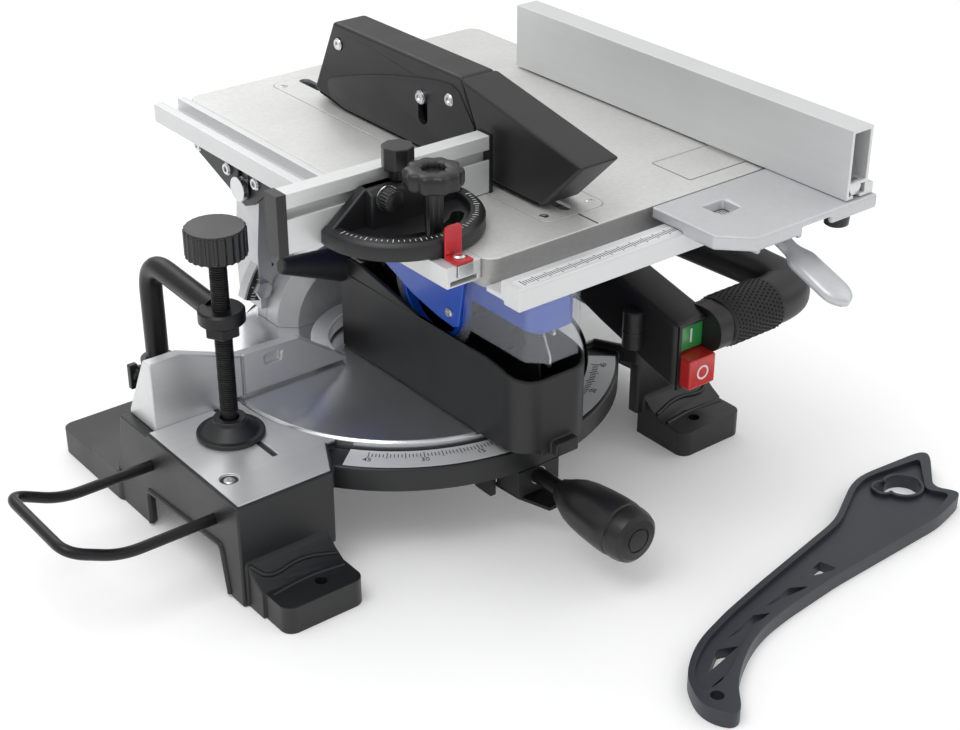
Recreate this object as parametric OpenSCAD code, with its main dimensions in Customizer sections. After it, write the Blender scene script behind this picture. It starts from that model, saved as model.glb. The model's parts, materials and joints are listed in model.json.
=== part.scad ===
// Table-top combination mitre saw: mitre base below, saw table on top of the head.
// Millimetres. Origin on the bench at the centre of the four foot holes.
// +X is to the right of a person at the handle, +Y to the back, +Z up.

/* [Base] */
// distance between foot holes, left to right
hole_spacing_x = 352; // [320:1:380]
// distance between foot holes, front to back
hole_spacing_y = 270; // [260:1:300]
// foot hole diameter
foot_hole_d = 9; // [6:0.5:11]
// height of the foot pads
foot_h = 21; // [15:1:26]
// turntable axis behind the middle of the foot holes
turntable_y = 12; // [0:1:20]
// height of the work deck above the bench
deck_z = 80.5; // [80:0.5:81]
// thickness of the wing plates
plate_t = 2.5; // [1.5:0.5:3]
// half width of the base
wing_x = 220; // [216:1:230]
// outer radius of the scale arc
ring_r = 168; // [160:1:174]
// deck screw shank diameter
deck_screw_d = 4.6; // [3:0.1:6]
// rise of the rear feet towards the wings
foot_step = 5; // [2:0.5:8]
// width of the black edge round the wing plates
plate_edge = 3; // [2:0.5:5]
// wall of the clamp post socket
socket_wall = 4.5; // [3:0.5:6]

/* [Turntable] */
// turntable radius
disc_r = 141.5; // [138:0.5:143]
// gap between turntable and base around the rim
rim_gap = 2; // [1:0.5:3]
// pivot bolt diameter
pivot_d = 12; // [8:1:16]
// half width of the blade slot
slot_half = 6; // [4:0.5:8]
// half width of the kerf insert
insert_half = 20; // [16:1:24]
// half width of the blade trough
trough_half = 34; // [32:0.5:36]
// wall of the blade trough
trough_wall = 3; // [2:0.5:4]
// top of the blade trough
trough_top = 145.6; // [140:0.2:148]
// diameter of the boss on the left of the blade trough
boss_d = 28; // [24:1:32]
// reach of the blade trough in front of the turntable
trough_reach = 44.5; // [40:0.5:48]
// mitre handle rod diameter
rod_d = 12; // [8:1:14]
// height of the mitre handle rod
rod_z_level = 46; // [45:0.5:47]

/* [Fits] */
// radial clearance of turning pins
running_fit = 0.05; // [0.02:0.01:0.1]
// radial clearance of sliding rods
slide_fit = 0.2; // [0.1:0.05:0.4]
// radial clearance of pieces fixed together
seat_fit = 0.05; // [0:0.01:0.1]
// gap between flat faces that move past each other
face_gap = 0.3; // [0.2:0.05:0.6]

/* [Fence and clamp] */
// front face of the work fence behind the turntable axis
fence_y = 7; // [5:0.5:9]
// fence thickness
fence_t = 10; // [8:0.5:11]
// top of the left fence
fence_top = 133; // [125:1:140]
// top of the right fence, under the handle in a right mitre cut
right_fence_top = 114; // [110:1:116]
// clamp post diameter
post_d = 17; // [12:0.5:18]
// clamp post place, left of the turntable axis
clamp_x = -172; // [-176:1:-168]
// clamp post place, behind the turntable axis
clamp_y = 72; // [68:1:76]
// clamp spindle place, front of the turntable axis
spindle_y = -30.5; // [-33:0.5:-28]
// clamp spindle diameter
spindle_d = 13; // [10:0.5:14]
// clamp knob diameter
knob_d = 43; // [36:1:50]
// pressure pad diameter
pad_d = 49; // [40:1:54]
// clamp wing screw diameter
wing_screw_d = 8; // [6:0.5:9]
// diameter of the work support rod
support_d = 8; // [6:0.5:9]

/* [Blade drive] */
// saw blade diameter
blade_d = 210; // [200:1:212]
// saw blade bore
blade_bore = 30; // [25:1:32]
// blade body thickness
blade_t = 1.8; // [1.4:0.1:2]
// number of blade teeth
blade_teeth = 24; // [18:1:40]
// spindle in front of the turntable axis
arbor_y = -75; // [-76:0.5:-74]
// spindle height
arbor_z = 168; // [167:0.5:169]
// spindle diameter
arbor_d = 20; // [16:1:22]
// spindle nose diameter in the flanges
nose_d = 16; // [12:1:17]
// motor axis behind the spindle
motor_dy = 40; // [38:0.5:42]
// motor axis above the spindle
motor_dz = 20.2; // [19:0.2:21]
// motor housing radius
motor_r = 44; // [42:0.5:45]
// motor shaft diameter
shaft_d = 10; // [8:0.5:12]
// gear module
gear_module = 1.6; // [1.5:0.05:1.6]
// teeth of the spindle gear
gear_teeth = 41; // [41:1:41]
// teeth of the motor pinion
pinion_teeth = 15; // [15:1:15]

/* [Head] */
// chop hinge behind the turntable axis
hinge_y = 112; // [110:0.5:114]
// chop hinge height
hinge_z = 194; // [193:0.5:195]
// chop hinge pin diameter
hinge_d = 12; // [10:0.5:14]
// radius of the lower guard pivot
guard_pivot_r = 38; // [36:0.5:40]
// head lock pin diameter
lock_d = 8; // [6:0.5:9]
// push button clearance in its pocket
button_gap = 0.4; // [0.3:0.1:0.8]

/* [Saw table] */
// height of the saw table
table_z = 263; // [262:0.5:264]
// table plate thickness
table_t = 6; // [5:0.5:7]
// left edge of the table plate
table_left = -90.5; // [-94:0.5:-88]
// right edge of the table plate
table_right = 185; // [170:1:200]
// front edge of the table plate
table_front = -221; // [-224:0.5:-218]
// back edge of the table plate
table_back = 145; // [135:1:155]
// depth of the table skirt
skirt_h = 20; // [12:1:20]
// wall of the table skirt
skirt_t = 4; // [3:0.5:6]
// half width of the table insert
table_insert_half = 26; // [24:0.5:30]
// half width of the upper guard arm
arm_half = 14.5; // [13:0.5:15]
// half width of the upper guard hood
hood_half = 16; // [14:0.5:18]
// wall of the upper guard
guard_wall = 3; // [2:0.5:4]
// width of the gauge slot
gauge_slot = 12; // [10:0.5:13]
// gauge guide depth
guide_h = 8; // [6:0.5:9]
// clearance of the gauge guide at each side
guide_fit = 0.2; // [0.1:0.05:0.4]
// table guide post diameter
table_post_d = 14; // [10:0.5:16]
// clearance of the fence carriage on its rail
rail_fit = 0.4; // [0.3:0.1:0.8]
// height of the rip fence
rip_h = 49; // [40:1:60]
// diameter of the small hinge pins
small_pin_d = 6; // [5:0.5:7]

/* [Push stick] */
// push stick thickness
stick_t = 12; // [8:0.5:15]
// height of the push stick rim
stick_rim = 4; // [2:0.5:6]

/* [Hidden] */
$fn = 64;
wing_z = deck_z - plate_t;
disc_bottom = 66.5;
well_r = disc_r + rim_gap;
motor_y = arbor_y + motor_dy;
motor_z = arbor_z + motor_dz;
blade_r = blade_d / 2;
rail_y0 = -253;
rail_y1 = -235;
rail_z0 = 241;
rail_z1 = 256;
gauge_x = -103;
gauge_y = -146;
gauge_r = 55;
knob_y = -183;
gauge_slot_r = gauge_y - knob_y;
thumb_x = gauge_x - 15;
thumb_z = table_z + 27;
bar_front = gauge_y + 7;
bar_back = gauge_y + 20;
bar_left = -188;
bar_right = -22;
head_top = table_z + 33;
head_floor = table_z + 8;
knob_low = table_z + 40;
boss_front = gauge_y - 8;
guard_y = 49.5;
guard_z = 314;
handle_y = -198;
handle_z = 136;
handle_r = 17;
handle_end = 220;
bevel_z = deck_z;
wing_screw_z = 90;
support_z = 56;
support_rows = [3, -84];
deck_screws = [[-204, -81]];
boss_y = 31;
boss_z = 150;
boss_tip_d = 12;
boss_tilt = 14;
insert_front = -(disc_r - 4.5);
insert_back = -15;
trough_front = -(disc_r + trough_reach);
trough_slot = sqrt(pow(blade_r, 2) - pow(arbor_z - deck_z - trough_wall, 2)) + 2;
lever_hub_y = 130;
lever_arm_y = disc_r + 9.5;
bolt_head_y = disc_r + 18.5;
lever_y = -262;
lever_z = 240;

// everything below is laid out from the turntable axis
module in_place() {
    translate([0, turntable_y, 0])
        children();
}

// round bars along each axis
module rod_x(x0, x1, y, z, d) {
    translate([x0, y, z])
        rotate([0, 90, 0])
            cylinder(d = d, h = x1 - x0);
}

module rod_y(y0, y1, x, z, d) {
    translate([x, y1, z])
        rotate([90, 0, 0])
            cylinder(d = d, h = y1 - y0);
}

module rod_z(z0, z1, x, y, d) {
    translate([x, y, z0])
        cylinder(d = d, h = z1 - z0);
}

// box from two corners
module block(x0, x1, y0, y1, z0, z1) {
    translate([x0, y0, z0])
        cube([x1 - x0, y1 - y0, z1 - z0]);
}

// flat outline given as (y, z), thick along X
module slab_x(x0, x1) {
    translate([x0, 0, 0])
        rotate([90, 0, 90])
            linear_extrude(x1 - x0)
                children();
}

// flat outline given as (x, z), thick along Y
module slab_y(y0, y1) {
    translate([0, y1, 0])
        rotate([90, 0, 0])
            linear_extrude(y1 - y0)
                children();
}

// flat outline given as (x, y), thick along Z
module slab_z(z0, z1) {
    translate([0, 0, z0])
        linear_extrude(z1 - z0)
            children();
}

// rectangle with round corners
module round_rect(x0, y0, x1, y1, r) {
    translate([x0 + r, y0])
        square([x1 - x0 - 2 * r, y1 - y0]);
    translate([x0, y0 + r])
        square([x1 - x0, y1 - y0 - 2 * r]);
    for (x = [x0 + r, x1 - r])
        for (y = [y0 + r, y1 - r])
            translate([x, y])
                circle(r = r);
}

// round bar between two points
module strut(p, q, d) {
    v = q - p;
    translate(p)
        rotate([0, acos(v[2] / norm(v)), atan2(v[1], v[0])])
            cylinder(d = d, h = norm(v));
}

// left and right copies
module both_sides() {
    children();
    mirror([1, 0, 0])
        children();
}

// base

// outline of a wing plate and of the black edge round it
module plate_outline(grow) {
    polygon([[-wing_x + plate_edge - grow, -117 + plate_edge - grow],
        [-142 - plate_edge / 2 + grow / 2, -117 + plate_edge - grow],
        [-125 - plate_edge / 2 + grow / 2, -82], [-100, -82], [-100, fence_y - face_gap],
        [-wing_x + plate_edge - grow, fence_y - face_gap]]);
}

module wing() {
    difference() {
        union() {
            slab_x(-wing_x, -170)
                polygon([[-117, wing_z], [46, wing_z], [60, foot_h], [62, 0], [12, 0], [12, 31], [-92, 39],
                    [-99, 0], [-117, 0]]);
            slab_x(-wing_x, -142)
                polygon([[-117, wing_z], [-106, wing_z], [-106, foot_h], [-117, foot_h]]);
            slab_x(-216, -150)
                polygon([[-110, 0], [-110, 36], [-117, 34], [-127, 26], [-136, foot_h], [-136, 0]]);
            slab_z(66, wing_z)
                polygon([[-wing_x, -117], [-142, -117], [-125, -82], [-100, -82], [-100, 24],
                    [-150, 24], [-150, 46], [-wing_x, 46]]);
            slab_z(wing_z, deck_z - 0.3)
                plate_outline(plate_edge);
            slab_z(0, foot_h)
                round_rect(-214, -163, -150, -106, 9);
            slab_z(0, foot_h)
                round_rect(-222, 50, -152, 150, 9);
            slab_z(0, foot_h + foot_step)
                round_rect(-222, 50, -152, 104, 9);
        }
        block(-wing_x + 6, -176, -104, 40, -1, 71);
        slab_z(wing_z, deck_z + 1)
            plate_outline(seat_fit);
    }
}

// socket of the clamp post on the left rear foot
module clamp_socket() {
    rod_z(0, wing_screw_z + 9, clamp_x, clamp_y, post_d + 2 * socket_wall);
    block(clamp_x - 4, clamp_x + 4, 40, clamp_y - post_d / 2 - 1, 10, wing_z - 4);
}

module base_casting() {
    color("#232427")
        in_place()
            difference() {
                union() {
                    both_sides()
                        wing();
                    intersection() {
                        union() {
                            rod_z(56, 74, 0, 0, 2 * ring_r);
                            rod_z(56, disc_bottom - face_gap, 0, 0, 2 * well_r + 1);
                        }
                        block(-180, 180, -180, 22, 50, 80);
                    }
                    block(-172, 172, -24, 24, 34, 58);
                    rod_z(34, disc_bottom - face_gap, 0, 0, 64);
                    clamp_socket();
                }
                rod_z(disc_bottom - face_gap, 90, 0, 0, 2 * well_r);
                difference() {
                    rod_z(55.9, 70, 0, 0, 224);
                    rod_z(55, 71, 0, 0, 64);
                    block(-172, 172, -24, 24, 34, 58);
                }
                both_sides()
                    block(-151, -36, -19, 19, 33, 53);
                rod_z(30, 70, 0, 0, pivot_d + 2 * seat_fit);
                both_sides()
                    for (y = [-hole_spacing_y / 2, hole_spacing_y / 2])
                        rod_z(-1, 70, hole_spacing_x / 2, y - turntable_y, foot_hole_d);
                both_sides()
                    for (y = [-hole_spacing_y / 2, hole_spacing_y / 2])
                        rod_z(foot_h, 70, hole_spacing_x / 2, y - turntable_y, 24);
                for (y = support_rows)
                    rod_x(-wing_x - 1, -140, y, support_z, support_d + 2 * slide_fit);
                rod_z(36, wing_screw_z + 13, clamp_x, clamp_y, post_d + 2 * slide_fit);
                rod_x(clamp_x - 30, clamp_x, clamp_y, wing_screw_z, wing_screw_d + 2 * running_fit);
                both_sides()
                    for (p = deck_screws)
                        rod_z(60, 80, p[0], p[1], deck_screw_d + 2 * seat_fit);
            }
}

module wing_plates() {
    color("#c9cbce")
        in_place()
            both_sides()
                difference() {
                    slab_z(wing_z, deck_z)
                        plate_outline(0);
                    rod_z(70, 90, 0, 0, 2 * well_r);
                    block(-163.5, -160.5, -75, fence_y + 1, wing_z - 1, deck_z + 1);
                    for (p = deck_screws)
                        rod_z(70, 90, p[0], p[1], deck_screw_d + 2 * seat_fit);
                    for (p = deck_screws)
                        rod_z(deck_z - 1.5, 90, p[0], p[1], deck_screw_d + 9);
                }
}

module deck_screw_set() {
    color("#b8babd")
        in_place()
            both_sides()
                for (p = deck_screws) {
                    rod_z(64, deck_z - 1, p[0], p[1], deck_screw_d);
                    rod_z(deck_z - 1.5, deck_z + 0.2, p[0], p[1], deck_screw_d + 4);
                }
}

module fence() {
    color("#bfc1c4")
        in_place()
            difference() {
                union() {
                    both_sides()
                        slab_y(fence_y, fence_y + fence_t)
                            polygon([[-212, wing_z], [-212, fence_top], [-186, fence_top], [-141, 116],
                                [-88, 114],
                                [-47, 85.5], [-47, deck_z + 2], [-146, deck_z + 2], [-146, wing_z]]);
                    both_sides()
                        slab_x(-212, -205)
                            polygon([[fence_y + 1, wing_z], [fence_y + 1, fence_top],
                                [fence_y + fence_t, fence_top],
                                [44, wing_z + 4], [44, wing_z]]);
                    intersection() {
                        difference() {
                            rod_z(deck_z + 2, 94, 0, 0, 140);
                            rod_z(70, 100, 0, 0, 112);
                        }
                        block(-90, 90, fence_y, 90, 70, 100);
                    }
                }
                block(40, 215, fence_y - 1, 60, right_fence_top, fence_top + 1);
                both_sides()
                    block(-138, -136.4, fence_y - 1, fence_y + 1.2, wing_z - 1, 140);
                both_sides()
                    block(-118, -105, fence_y - 1, fence_y + 3, 102, 110);
            }
}

module pivot_bolt() {
    color("#8d9094")
        in_place()
            union() {
                rod_z(34, 79, 0, 0, pivot_d);
                rod_z(27, 34, 0, 0, pivot_d + 10);
                translate([0, 0, 72 + face_gap])
                    cylinder(d = pivot_d + 9, h = 6, $fn = 6);
            }
}

// sliding wire work support at the left

module support_bar() {
    inner = [support_rows[0], support_rows[1]];
    color("#17181a")
        in_place()
            union() {
                for (y = inner)
                    rod_x(-290, -172, y, support_z, support_d);
                for (y = inner)
                    translate([-290, y, support_z])
                        sphere(d = support_d);
                for (y = inner)
                    strut([-290, y, support_z], [-328, y, 74], support_d);
                for (y = inner)
                    translate([-328, y, 74])
                        sphere(d = support_d);
                rod_y(inner[1], inner[0], -328, 74, support_d);
            }
}

// work clamp

module clamp_post() {
    color("#1b1c1e")
        in_place()
            difference() {
                union() {
                    rod_z(46, 180, clamp_x, clamp_y, post_d);
                    translate([clamp_x, clamp_y, 180])
                        sphere(d = post_d);
                    strut([clamp_x, clamp_y, 180], [clamp_x, spindle_y + 12, 177], post_d);
                    rod_z(170, 181, clamp_x, spindle_y, spindle_d + 20);
                    translate([clamp_x, spindle_y, 161])
                        cylinder(d = spindle_d + 13, h = 9, $fn = 6);
                }
                rod_z(150, 200, clamp_x, spindle_y, spindle_d + 2 * running_fit);
            }
}

module clamp_wing_screw() {
    color("#1b1c1e")
        in_place()
            union() {
                rod_x(clamp_x - 22, clamp_x - post_d / 2 - face_gap, clamp_y, wing_screw_z, wing_screw_d);
                rod_x(clamp_x - 20, clamp_x - post_d / 2 - socket_wall - face_gap, clamp_y, wing_screw_z,
                    wing_screw_d + 5);
                block(clamp_x - 25, clamp_x - 18, clamp_y - 2.5, clamp_y + 2.5, wing_screw_z - 10,
                    wing_screw_z + 10);
            }
}

module clamp_spindle() {
    color("#1d1e20")
        in_place()
            rod_z(90 + face_gap, 234, clamp_x, spindle_y, spindle_d);
}

module clamp_knob() {
    color("#1b1c1e")
        in_place()
            difference() {
                union() {
                    rod_z(221, 242, clamp_x, spindle_y, knob_d - 2);
                    for (a = [0 : 15 : 345])
                        rod_z(221.5, 241, clamp_x + (knob_d / 2 - 1.6) * cos(a),
                            spindle_y + (knob_d / 2 - 1.6) * sin(a), 3.2);
                }
                rod_z(220, 234 + seat_fit, clamp_x, spindle_y, spindle_d + 2 * seat_fit);
            }
}

module clamp_pad() {
    color("#1b1c1e")
        in_place()
            difference() {
                union() {
                    rod_z(deck_z + 0.2, deck_z + 3.6, clamp_x, spindle_y, pad_d);
                    translate([clamp_x, spindle_y, deck_z + 3.6])
                        cylinder(d1 = pad_d - 9, d2 = spindle_d + 11, h = 8);
                    rod_z(90, 95, clamp_x, spindle_y, spindle_d + 11);
                }
                rod_z(90, 100, clamp_x, spindle_y, spindle_d + 2 * running_fit);
            }
}

// turntable

module turntable() {
    color("#c4c6c9")
        in_place()
            difference() {
                union() {
                    rod_z(disc_bottom, deck_z - 2, 0, 0, 2 * disc_r);
                    translate([0, 0, deck_z - 2])
                        cylinder(r1 = disc_r, r2 = disc_r - 2, h = 2);
                    block(-16, 16, -104, -58, 34, 70);
                    block(-18, 18, -166, -58, 34, 54);
                    both_sides()
                        block(18, 23, -140, -122, 24, 44);
                }
                block(-slot_half, slot_half, insert_front - 1, insert_back + 1, 60, 90);
                block(-insert_half - seat_fit, insert_half + seat_fit, insert_front - seat_fit,
                    insert_back + seat_fit, deck_z - 2, 90);
                rod_z(60, 90, 0, 0, pivot_d + 2 * running_fit);
                rod_z(72, 90, 0, 0, pivot_d + 13);
                block(-16, 16, 84, disc_r + 10, 60, 90);
                rod_y(-170, -118, 0, rod_z_level, rod_d + 2 * running_fit);
                rod_x(-30, 30, -131, 29, small_pin_d + 2 * running_fit);
            }
}

module kerf_insert() {
    color("#2a2b2e")
        in_place()
            difference() {
                block(-insert_half, insert_half, insert_front, insert_back, deck_z - 2, deck_z);
                block(-4, 4, insert_front + 1, insert_back - 1, deck_z - 3, deck_z + 1);
            }
}

module trough_outline(inset) {
    half = trough_half - inset;
    round_rect(-half, trough_front + inset, half, -100, 20 - inset);
    translate([-half, trough_front + 56])
        square([2 * half, 31 - inset - trough_front - 56]);
}

module blade_trough() {
    color("#2c2d30")
        in_place()
            difference() {
                union() {
                    slab_z(deck_z + face_gap, trough_top)
                        trough_outline(0);
                    intersection() {
                        slab_z(75.5, deck_z + 1)
                            trough_outline(0);
                        difference() {
                            block(-14, 14, trough_front - 4, -100, 70, 82);
                            rod_z(60, 90, 0, 0, 2 * disc_r + 1);
                        }
                    }
                    translate([2 - trough_half, boss_y, boss_z])
                        rotate([0, boss_tilt - 90, 0])
                            cylinder(d1 = boss_d, d2 = boss_tip_d, h = 56);
                    block(-6, 14, trough_front - 4, trough_front + 16, 75.5, 79);
                    block(-6, 14, trough_front - 7, trough_front + 1, 75.5, 86);
                }
                slab_z(deck_z + trough_wall, trough_top + 5)
                    trough_outline(trough_wall);
                slab_x(-trough_half - 1, trough_half + 1)
                    polygon([[trough_front + 40, trough_top + 1], [trough_front + 40, trough_top],
                        [trough_front + 24, trough_top - 2], [trough_front + 10, trough_top - 6],
                        [trough_front - 1, trough_top - 9], [trough_front - 1, trough_top + 1]]);
                block(-8, 8, arbor_y - trough_slot, arbor_y + trough_slot, 70, 90);
                rod_x(29, 40, arbor_y, arbor_z, 92);
                rod_x(29, 40, motor_y, motor_z, 2 * motor_r + 8);
            }
}

// rear bevel support and its arm

module upper_half_disc(r) {
    intersection() {
        translate([0, bevel_z])
            circle(r = r);
        translate([-r, bevel_z])
            square([2 * r, r]);
    }
}

module bevel_support() {
    color("#b4b6b9")
        in_place()
            difference() {
                union() {
                    slab_y(88, 104)
                        upper_half_disc(58);
                    intersection() {
                        translate([0, 88, bevel_z])
                            rotate([90, 0, 0])
                                cylinder(r1 = 58, r2 = 46, h = 12);
                        block(-60, 60, 70, 90, bevel_z, 150);
                    }
                    block(-15, 15, 85, 104, 68, 90);
                    both_sides()
                        block(40, 56, 86, 104, deck_z, deck_z + 9);
                }
                rod_y(60, 120, 0, bevel_z, rod_d + 2 * seat_fit);
            }
}

module bevel_arm() {
    color("#bcbec1")
        in_place()
            difference() {
                union() {
                    slab_y(104, 118)
                        upper_half_disc(58);
                    block(-15, 15, 104, 128, 68, 90);
                    slab_y(106, 116)
                        intersection() {
                            translate([0, bevel_z])
                                circle(r = 79);
                            polygon([[-30, bevel_z + 24], [-100, bevel_z + 20], [-100, 160], [-30, 180]]);
                        }
                    both_sides()
                        slab_x(50, 62) {
                            translate([hinge_y, hinge_z])
                                circle(r = 17);
                            polygon([[hinge_y - 16, hinge_z], [104.2, 140], [104.2, 90], [136, 90],
                                [138, 130],
                                [hinge_y + 17, hinge_z]]);
                        }
                    block(-55, 55, 118, 130, 90, 128);
                }
                rod_y(100, 140, 0, bevel_z, rod_d + 2 * seat_fit);
                rod_x(-80, 80, hinge_y, hinge_z, hinge_d + 2 * seat_fit);
                rod_x(40, 80, 124, 150, lock_d + 2 * running_fit);
            }
}

module bevel_bolt() {
    color("#8d9094")
        in_place()
            union() {
                rod_y(86, bolt_head_y, 0, bevel_z, rod_d);
                rod_y(bolt_head_y, bolt_head_y + 4, 0, bevel_z, rod_d + 8);
            }
}

module bevel_lever() {
    color("#1b1c1e")
        in_place()
            difference() {
                union() {
                    rod_y(lever_hub_y, bolt_head_y - face_gap, 0, bevel_z, rod_d + 14);
                    slab_y(lever_arm_y - 5, lever_arm_y + 5)
                        polygon([[0, bevel_z + 8], [-42, 66], [-50, 60], [-50, 52], [-42, 50],
                            [0, bevel_z - 8]]);
                }
                rod_y(120, bolt_head_y + 10, 0, bevel_z, rod_d + 2 * running_fit);
            }
}

// mitre handle and detent

module mitre_rod() {
    color("#2b2c2f")
        in_place()
            rod_y(-232, -122, 0, rod_z_level, rod_d);
}

module mitre_grip() {
    color("#1b1c1e")
        in_place()
            difference() {
                translate([0, -192, rod_z_level])
                    rotate([90, 0, 0])
                        rotate_extrude()
                            polygon([[0, 0], [9, 0], [11, 6], [16, 14], [19, 26], [20.5, 42], [21, 58],
                                [20.5, 64], [19.8, 65], [19.8, 66.5], [20.5, 67.5], [19, 76], [16, 80],
                                [0, 80]]);
                rod_y(-233, -180, 0, rod_z_level, rod_d + 2 * seat_fit);
            }
}

module detent_lever() {
    color("#1b1c1e")
        in_place()
            union() {
                rod_x(-23, 23, -131, 29, small_pin_d);
                slab_z(27.5, 30.5)
                    polygon([[-16, -131], [16, -131], [14, -160], [6, -186], [-6, -186], [-14, -160]]);
            }
}

// head hinge

module hinge_pin() {
    color("#9a9da1")
        in_place()
            union() {
                rod_x(-72, 88, hinge_y, hinge_z, hinge_d);
                rod_x(-72, -67, hinge_y, hinge_z, hinge_d + 8);
            }
}

// round wire wound about the hinge pin, with two straight tails
module wire_coil(coil_r, wire_r, pitch, turns, steps) {
    count = turns * steps;
    rings = [for (i = [0 : count]) let (a = 360 * i / steps)
        [for (k = [0 : 5]) let (t = 60 * k)
            [pitch * i / steps + wire_r * sin(t),
                (coil_r + wire_r * cos(t)) * cos(a),
                (coil_r + wire_r * cos(t)) * sin(a)]]];
    points = [for (r = rings) for (p = r) p];
    sides = [for (i = [0 : count - 1]) for (k = [0 : 5])
        [6 * i + k, 6 * i + (k + 1) % 6, 6 * (i + 1) + (k + 1) % 6, 6 * (i + 1) + k]];
    ends = [[5, 4, 3, 2, 1, 0], [for (k = [0 : 5]) 6 * count + k]];
    polyhedron(points = points, faces = concat(sides, ends), convexity = 10);
}

module return_spring() {
    color("#74777b")
        in_place()
            translate([-46, hinge_y, hinge_z])
                wire_coil(hinge_d / 2 + 1.8, 1.5, 4.8, 5, 16);
}

module head_lock_pin() {
    color("#2a2b2e")
        in_place()
            union() {
                rod_x(50.5, 72, 124, 150, lock_d);
                rod_x(72, 84, 124, 150, lock_d + 14);
            }
}

// head

module housing_outline() {
    polygon([[-184, 192], [-112, 186], [-106, 154], [-60, 151], [-18, 160], [34, 188], [62, 192],
        [62, 224], [40, 231], [-184, 231]]);
}

module housing_plan(inset) {
    polygon([[-20 + inset, 36], [-20 + inset, -172 + inset], [-9, -184 + inset], [9, -184 + inset],
        [20 - inset, -172 + inset], [20 - inset, 36]]);
}

module blade_housing() {
    color("#1459c4")
        in_place()
            difference() {
                union() {
                    intersection() {
                        slab_x(-22, 22)
                            housing_outline();
                        slab_z(140, 240)
                            housing_plan(0);
                    }
                    block(-20, 20, 35, 62, 192, 224);
                    rod_x(-26, -19, arbor_y, arbor_z, 2 * guard_pivot_r);
                    slab_x(4, 18)
                        polygon([[50, 192], [104, 180], [124, 182], [124, 208], [100, 213], [50, 224]]);
                    rod_x(-20, 48, hinge_y, hinge_z, 40);
                    slab_x(40, 48)
                        polygon([[100, 190], [113, 140], [135, 140], [128, 190]]);
                    rod_x(-26, -18, 10, 212, 12);
                }
                slab_z(140, 240)
                    housing_plan(3);
                block(-1.2, 1.2, 20, 70, 180, 240);
                rod_x(-40, -10, arbor_y, arbor_z, 2 * guard_pivot_r - 8);
                rod_x(10, 40, arbor_y, arbor_z, 60 + 2 * seat_fit);
                rod_x(-60, 60, hinge_y, hinge_z, hinge_d + 2 * running_fit);
                rod_x(30, 60, 124, 150, lock_d + 2 * slide_fit);
            }
}

module side_plate() {
    color("#1459c4")
        in_place()
            difference() {
                slab_x(-29, -26)
                    polygon([[-116, 190], [-116, 231], [20, 231], [36, 206], [8, 185], [-22, 169],
                        [-55, 157],
                        [-85, 151], [-104, 149], [-110, 152]]);
                rod_x(-40, -20, 10, 212, 5);
            }
}

module motor_housing() {
    color("#1e1f22")
        in_place()
            difference() {
                union() {
                    rod_x(28, 56, arbor_y, arbor_z, 84);
                    rod_x(28, 178, motor_y, motor_z, 2 * motor_r);
                    rod_x(17, 30, arbor_y, arbor_z, 60);
                    rod_x(20.2, 28, arbor_y, arbor_z, 2 * guard_pivot_r);
                    rod_z(196, 244, 42, -92, table_post_d);
                }
                rod_x(32, 52, arbor_y, arbor_z, 76);
                rod_x(32, 52, motor_y, motor_z, 60);
                rod_x(56, 180, motor_y, motor_z, 2 * motor_r - 8);
                rod_x(10, 40, arbor_y, arbor_z, arbor_d + 2 * running_fit);
                rod_x(50, 60, motor_y, motor_z, shaft_d + 2 * running_fit);
            }
}

module motor_cap() {
    color("#1e1f22")
        in_place()
            difference() {
                union() {
                    rod_x(178, 186, motor_y, motor_z, 2 * motor_r);
                    translate([186, motor_y, motor_z])
                        rotate([0, 90, 0])
                            cylinder(r1 = motor_r, r2 = motor_r - 8, h = 8);
                }
                rod_x(170, 190, motor_y, motor_z, shaft_d + 2 * running_fit);
                for (a = [0 : 30 : 330])
                    rod_x(180, 200, motor_y + 26 * cos(a), motor_z + 26 * sin(a), 7);
            }
}

module handle_shell() {
    color("#202124")
        in_place()
            difference() {
                union() {
                    slab_x(97, 132)
                        polygon([[-200, 97], [-200, 149], [-100, 172], [-60, 172], [-60, 140],
                            [-120, 120]]);
                    rod_x(130, handle_end, handle_y, handle_z, 2 * handle_r);
                    translate([handle_end, handle_y, handle_z])
                        sphere(r = handle_r);
                    strut([handle_end, handle_y, handle_z], [172, -70, 170], 2 * handle_r - 4);
                    rod_z(118, 148, 93, -160, 15);
                }
                rod_x(90, 240, motor_y, motor_z, 2 * motor_r + 2 * seat_fit);
                block(102 - button_gap, 128 + button_gap, -201, -168, 99 - button_gap, 146 + button_gap);
                rod_z(110, 116, 93, -160, 6);
            }
}

module handle_grip() {
    color("#161719")
        in_place()
            difference() {
                rod_x(140, handle_end - 26, handle_y, handle_z, 2 * handle_r + 3);
                rod_x(139, handle_end - 25, handle_y, handle_z, 2 * handle_r + 2 * seat_fit);
            }
}

module dust_spout() {
    color("#1b1c1e")
        in_place()
            difference() {
                union() {
                    rod_y(36, 80, 0, 160, 40);
                    block(-14, 14, 40, 50, 172, 192 - seat_fit);
                }
                rod_y(42, 90, 0, 160, 34);
            }
}

module riving_knife() {
    color("#9ea1a5")
        in_place()
            union() {
                difference() {
                    slab_x(-1, 1)
                        difference() {
                            polygon([[-66, 290], [-66, 322], [40, 322], [62, 304], [64, 262], [60, 200],
                                [20, 196], [-40, 262], [-40, 290]]);
                            translate([arbor_y, arbor_z])
                                circle(r = blade_r + 5);
                        }
                    rod_x(-5, 5, guard_y, guard_z, small_pin_d + 2 * running_fit);
                }
                rod_x(-18, 18, -54, 304, small_pin_d);
                both_sides()
                    rod_x(15, 18, -54, 304, small_pin_d + 4);
            }
}

// drive

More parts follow.
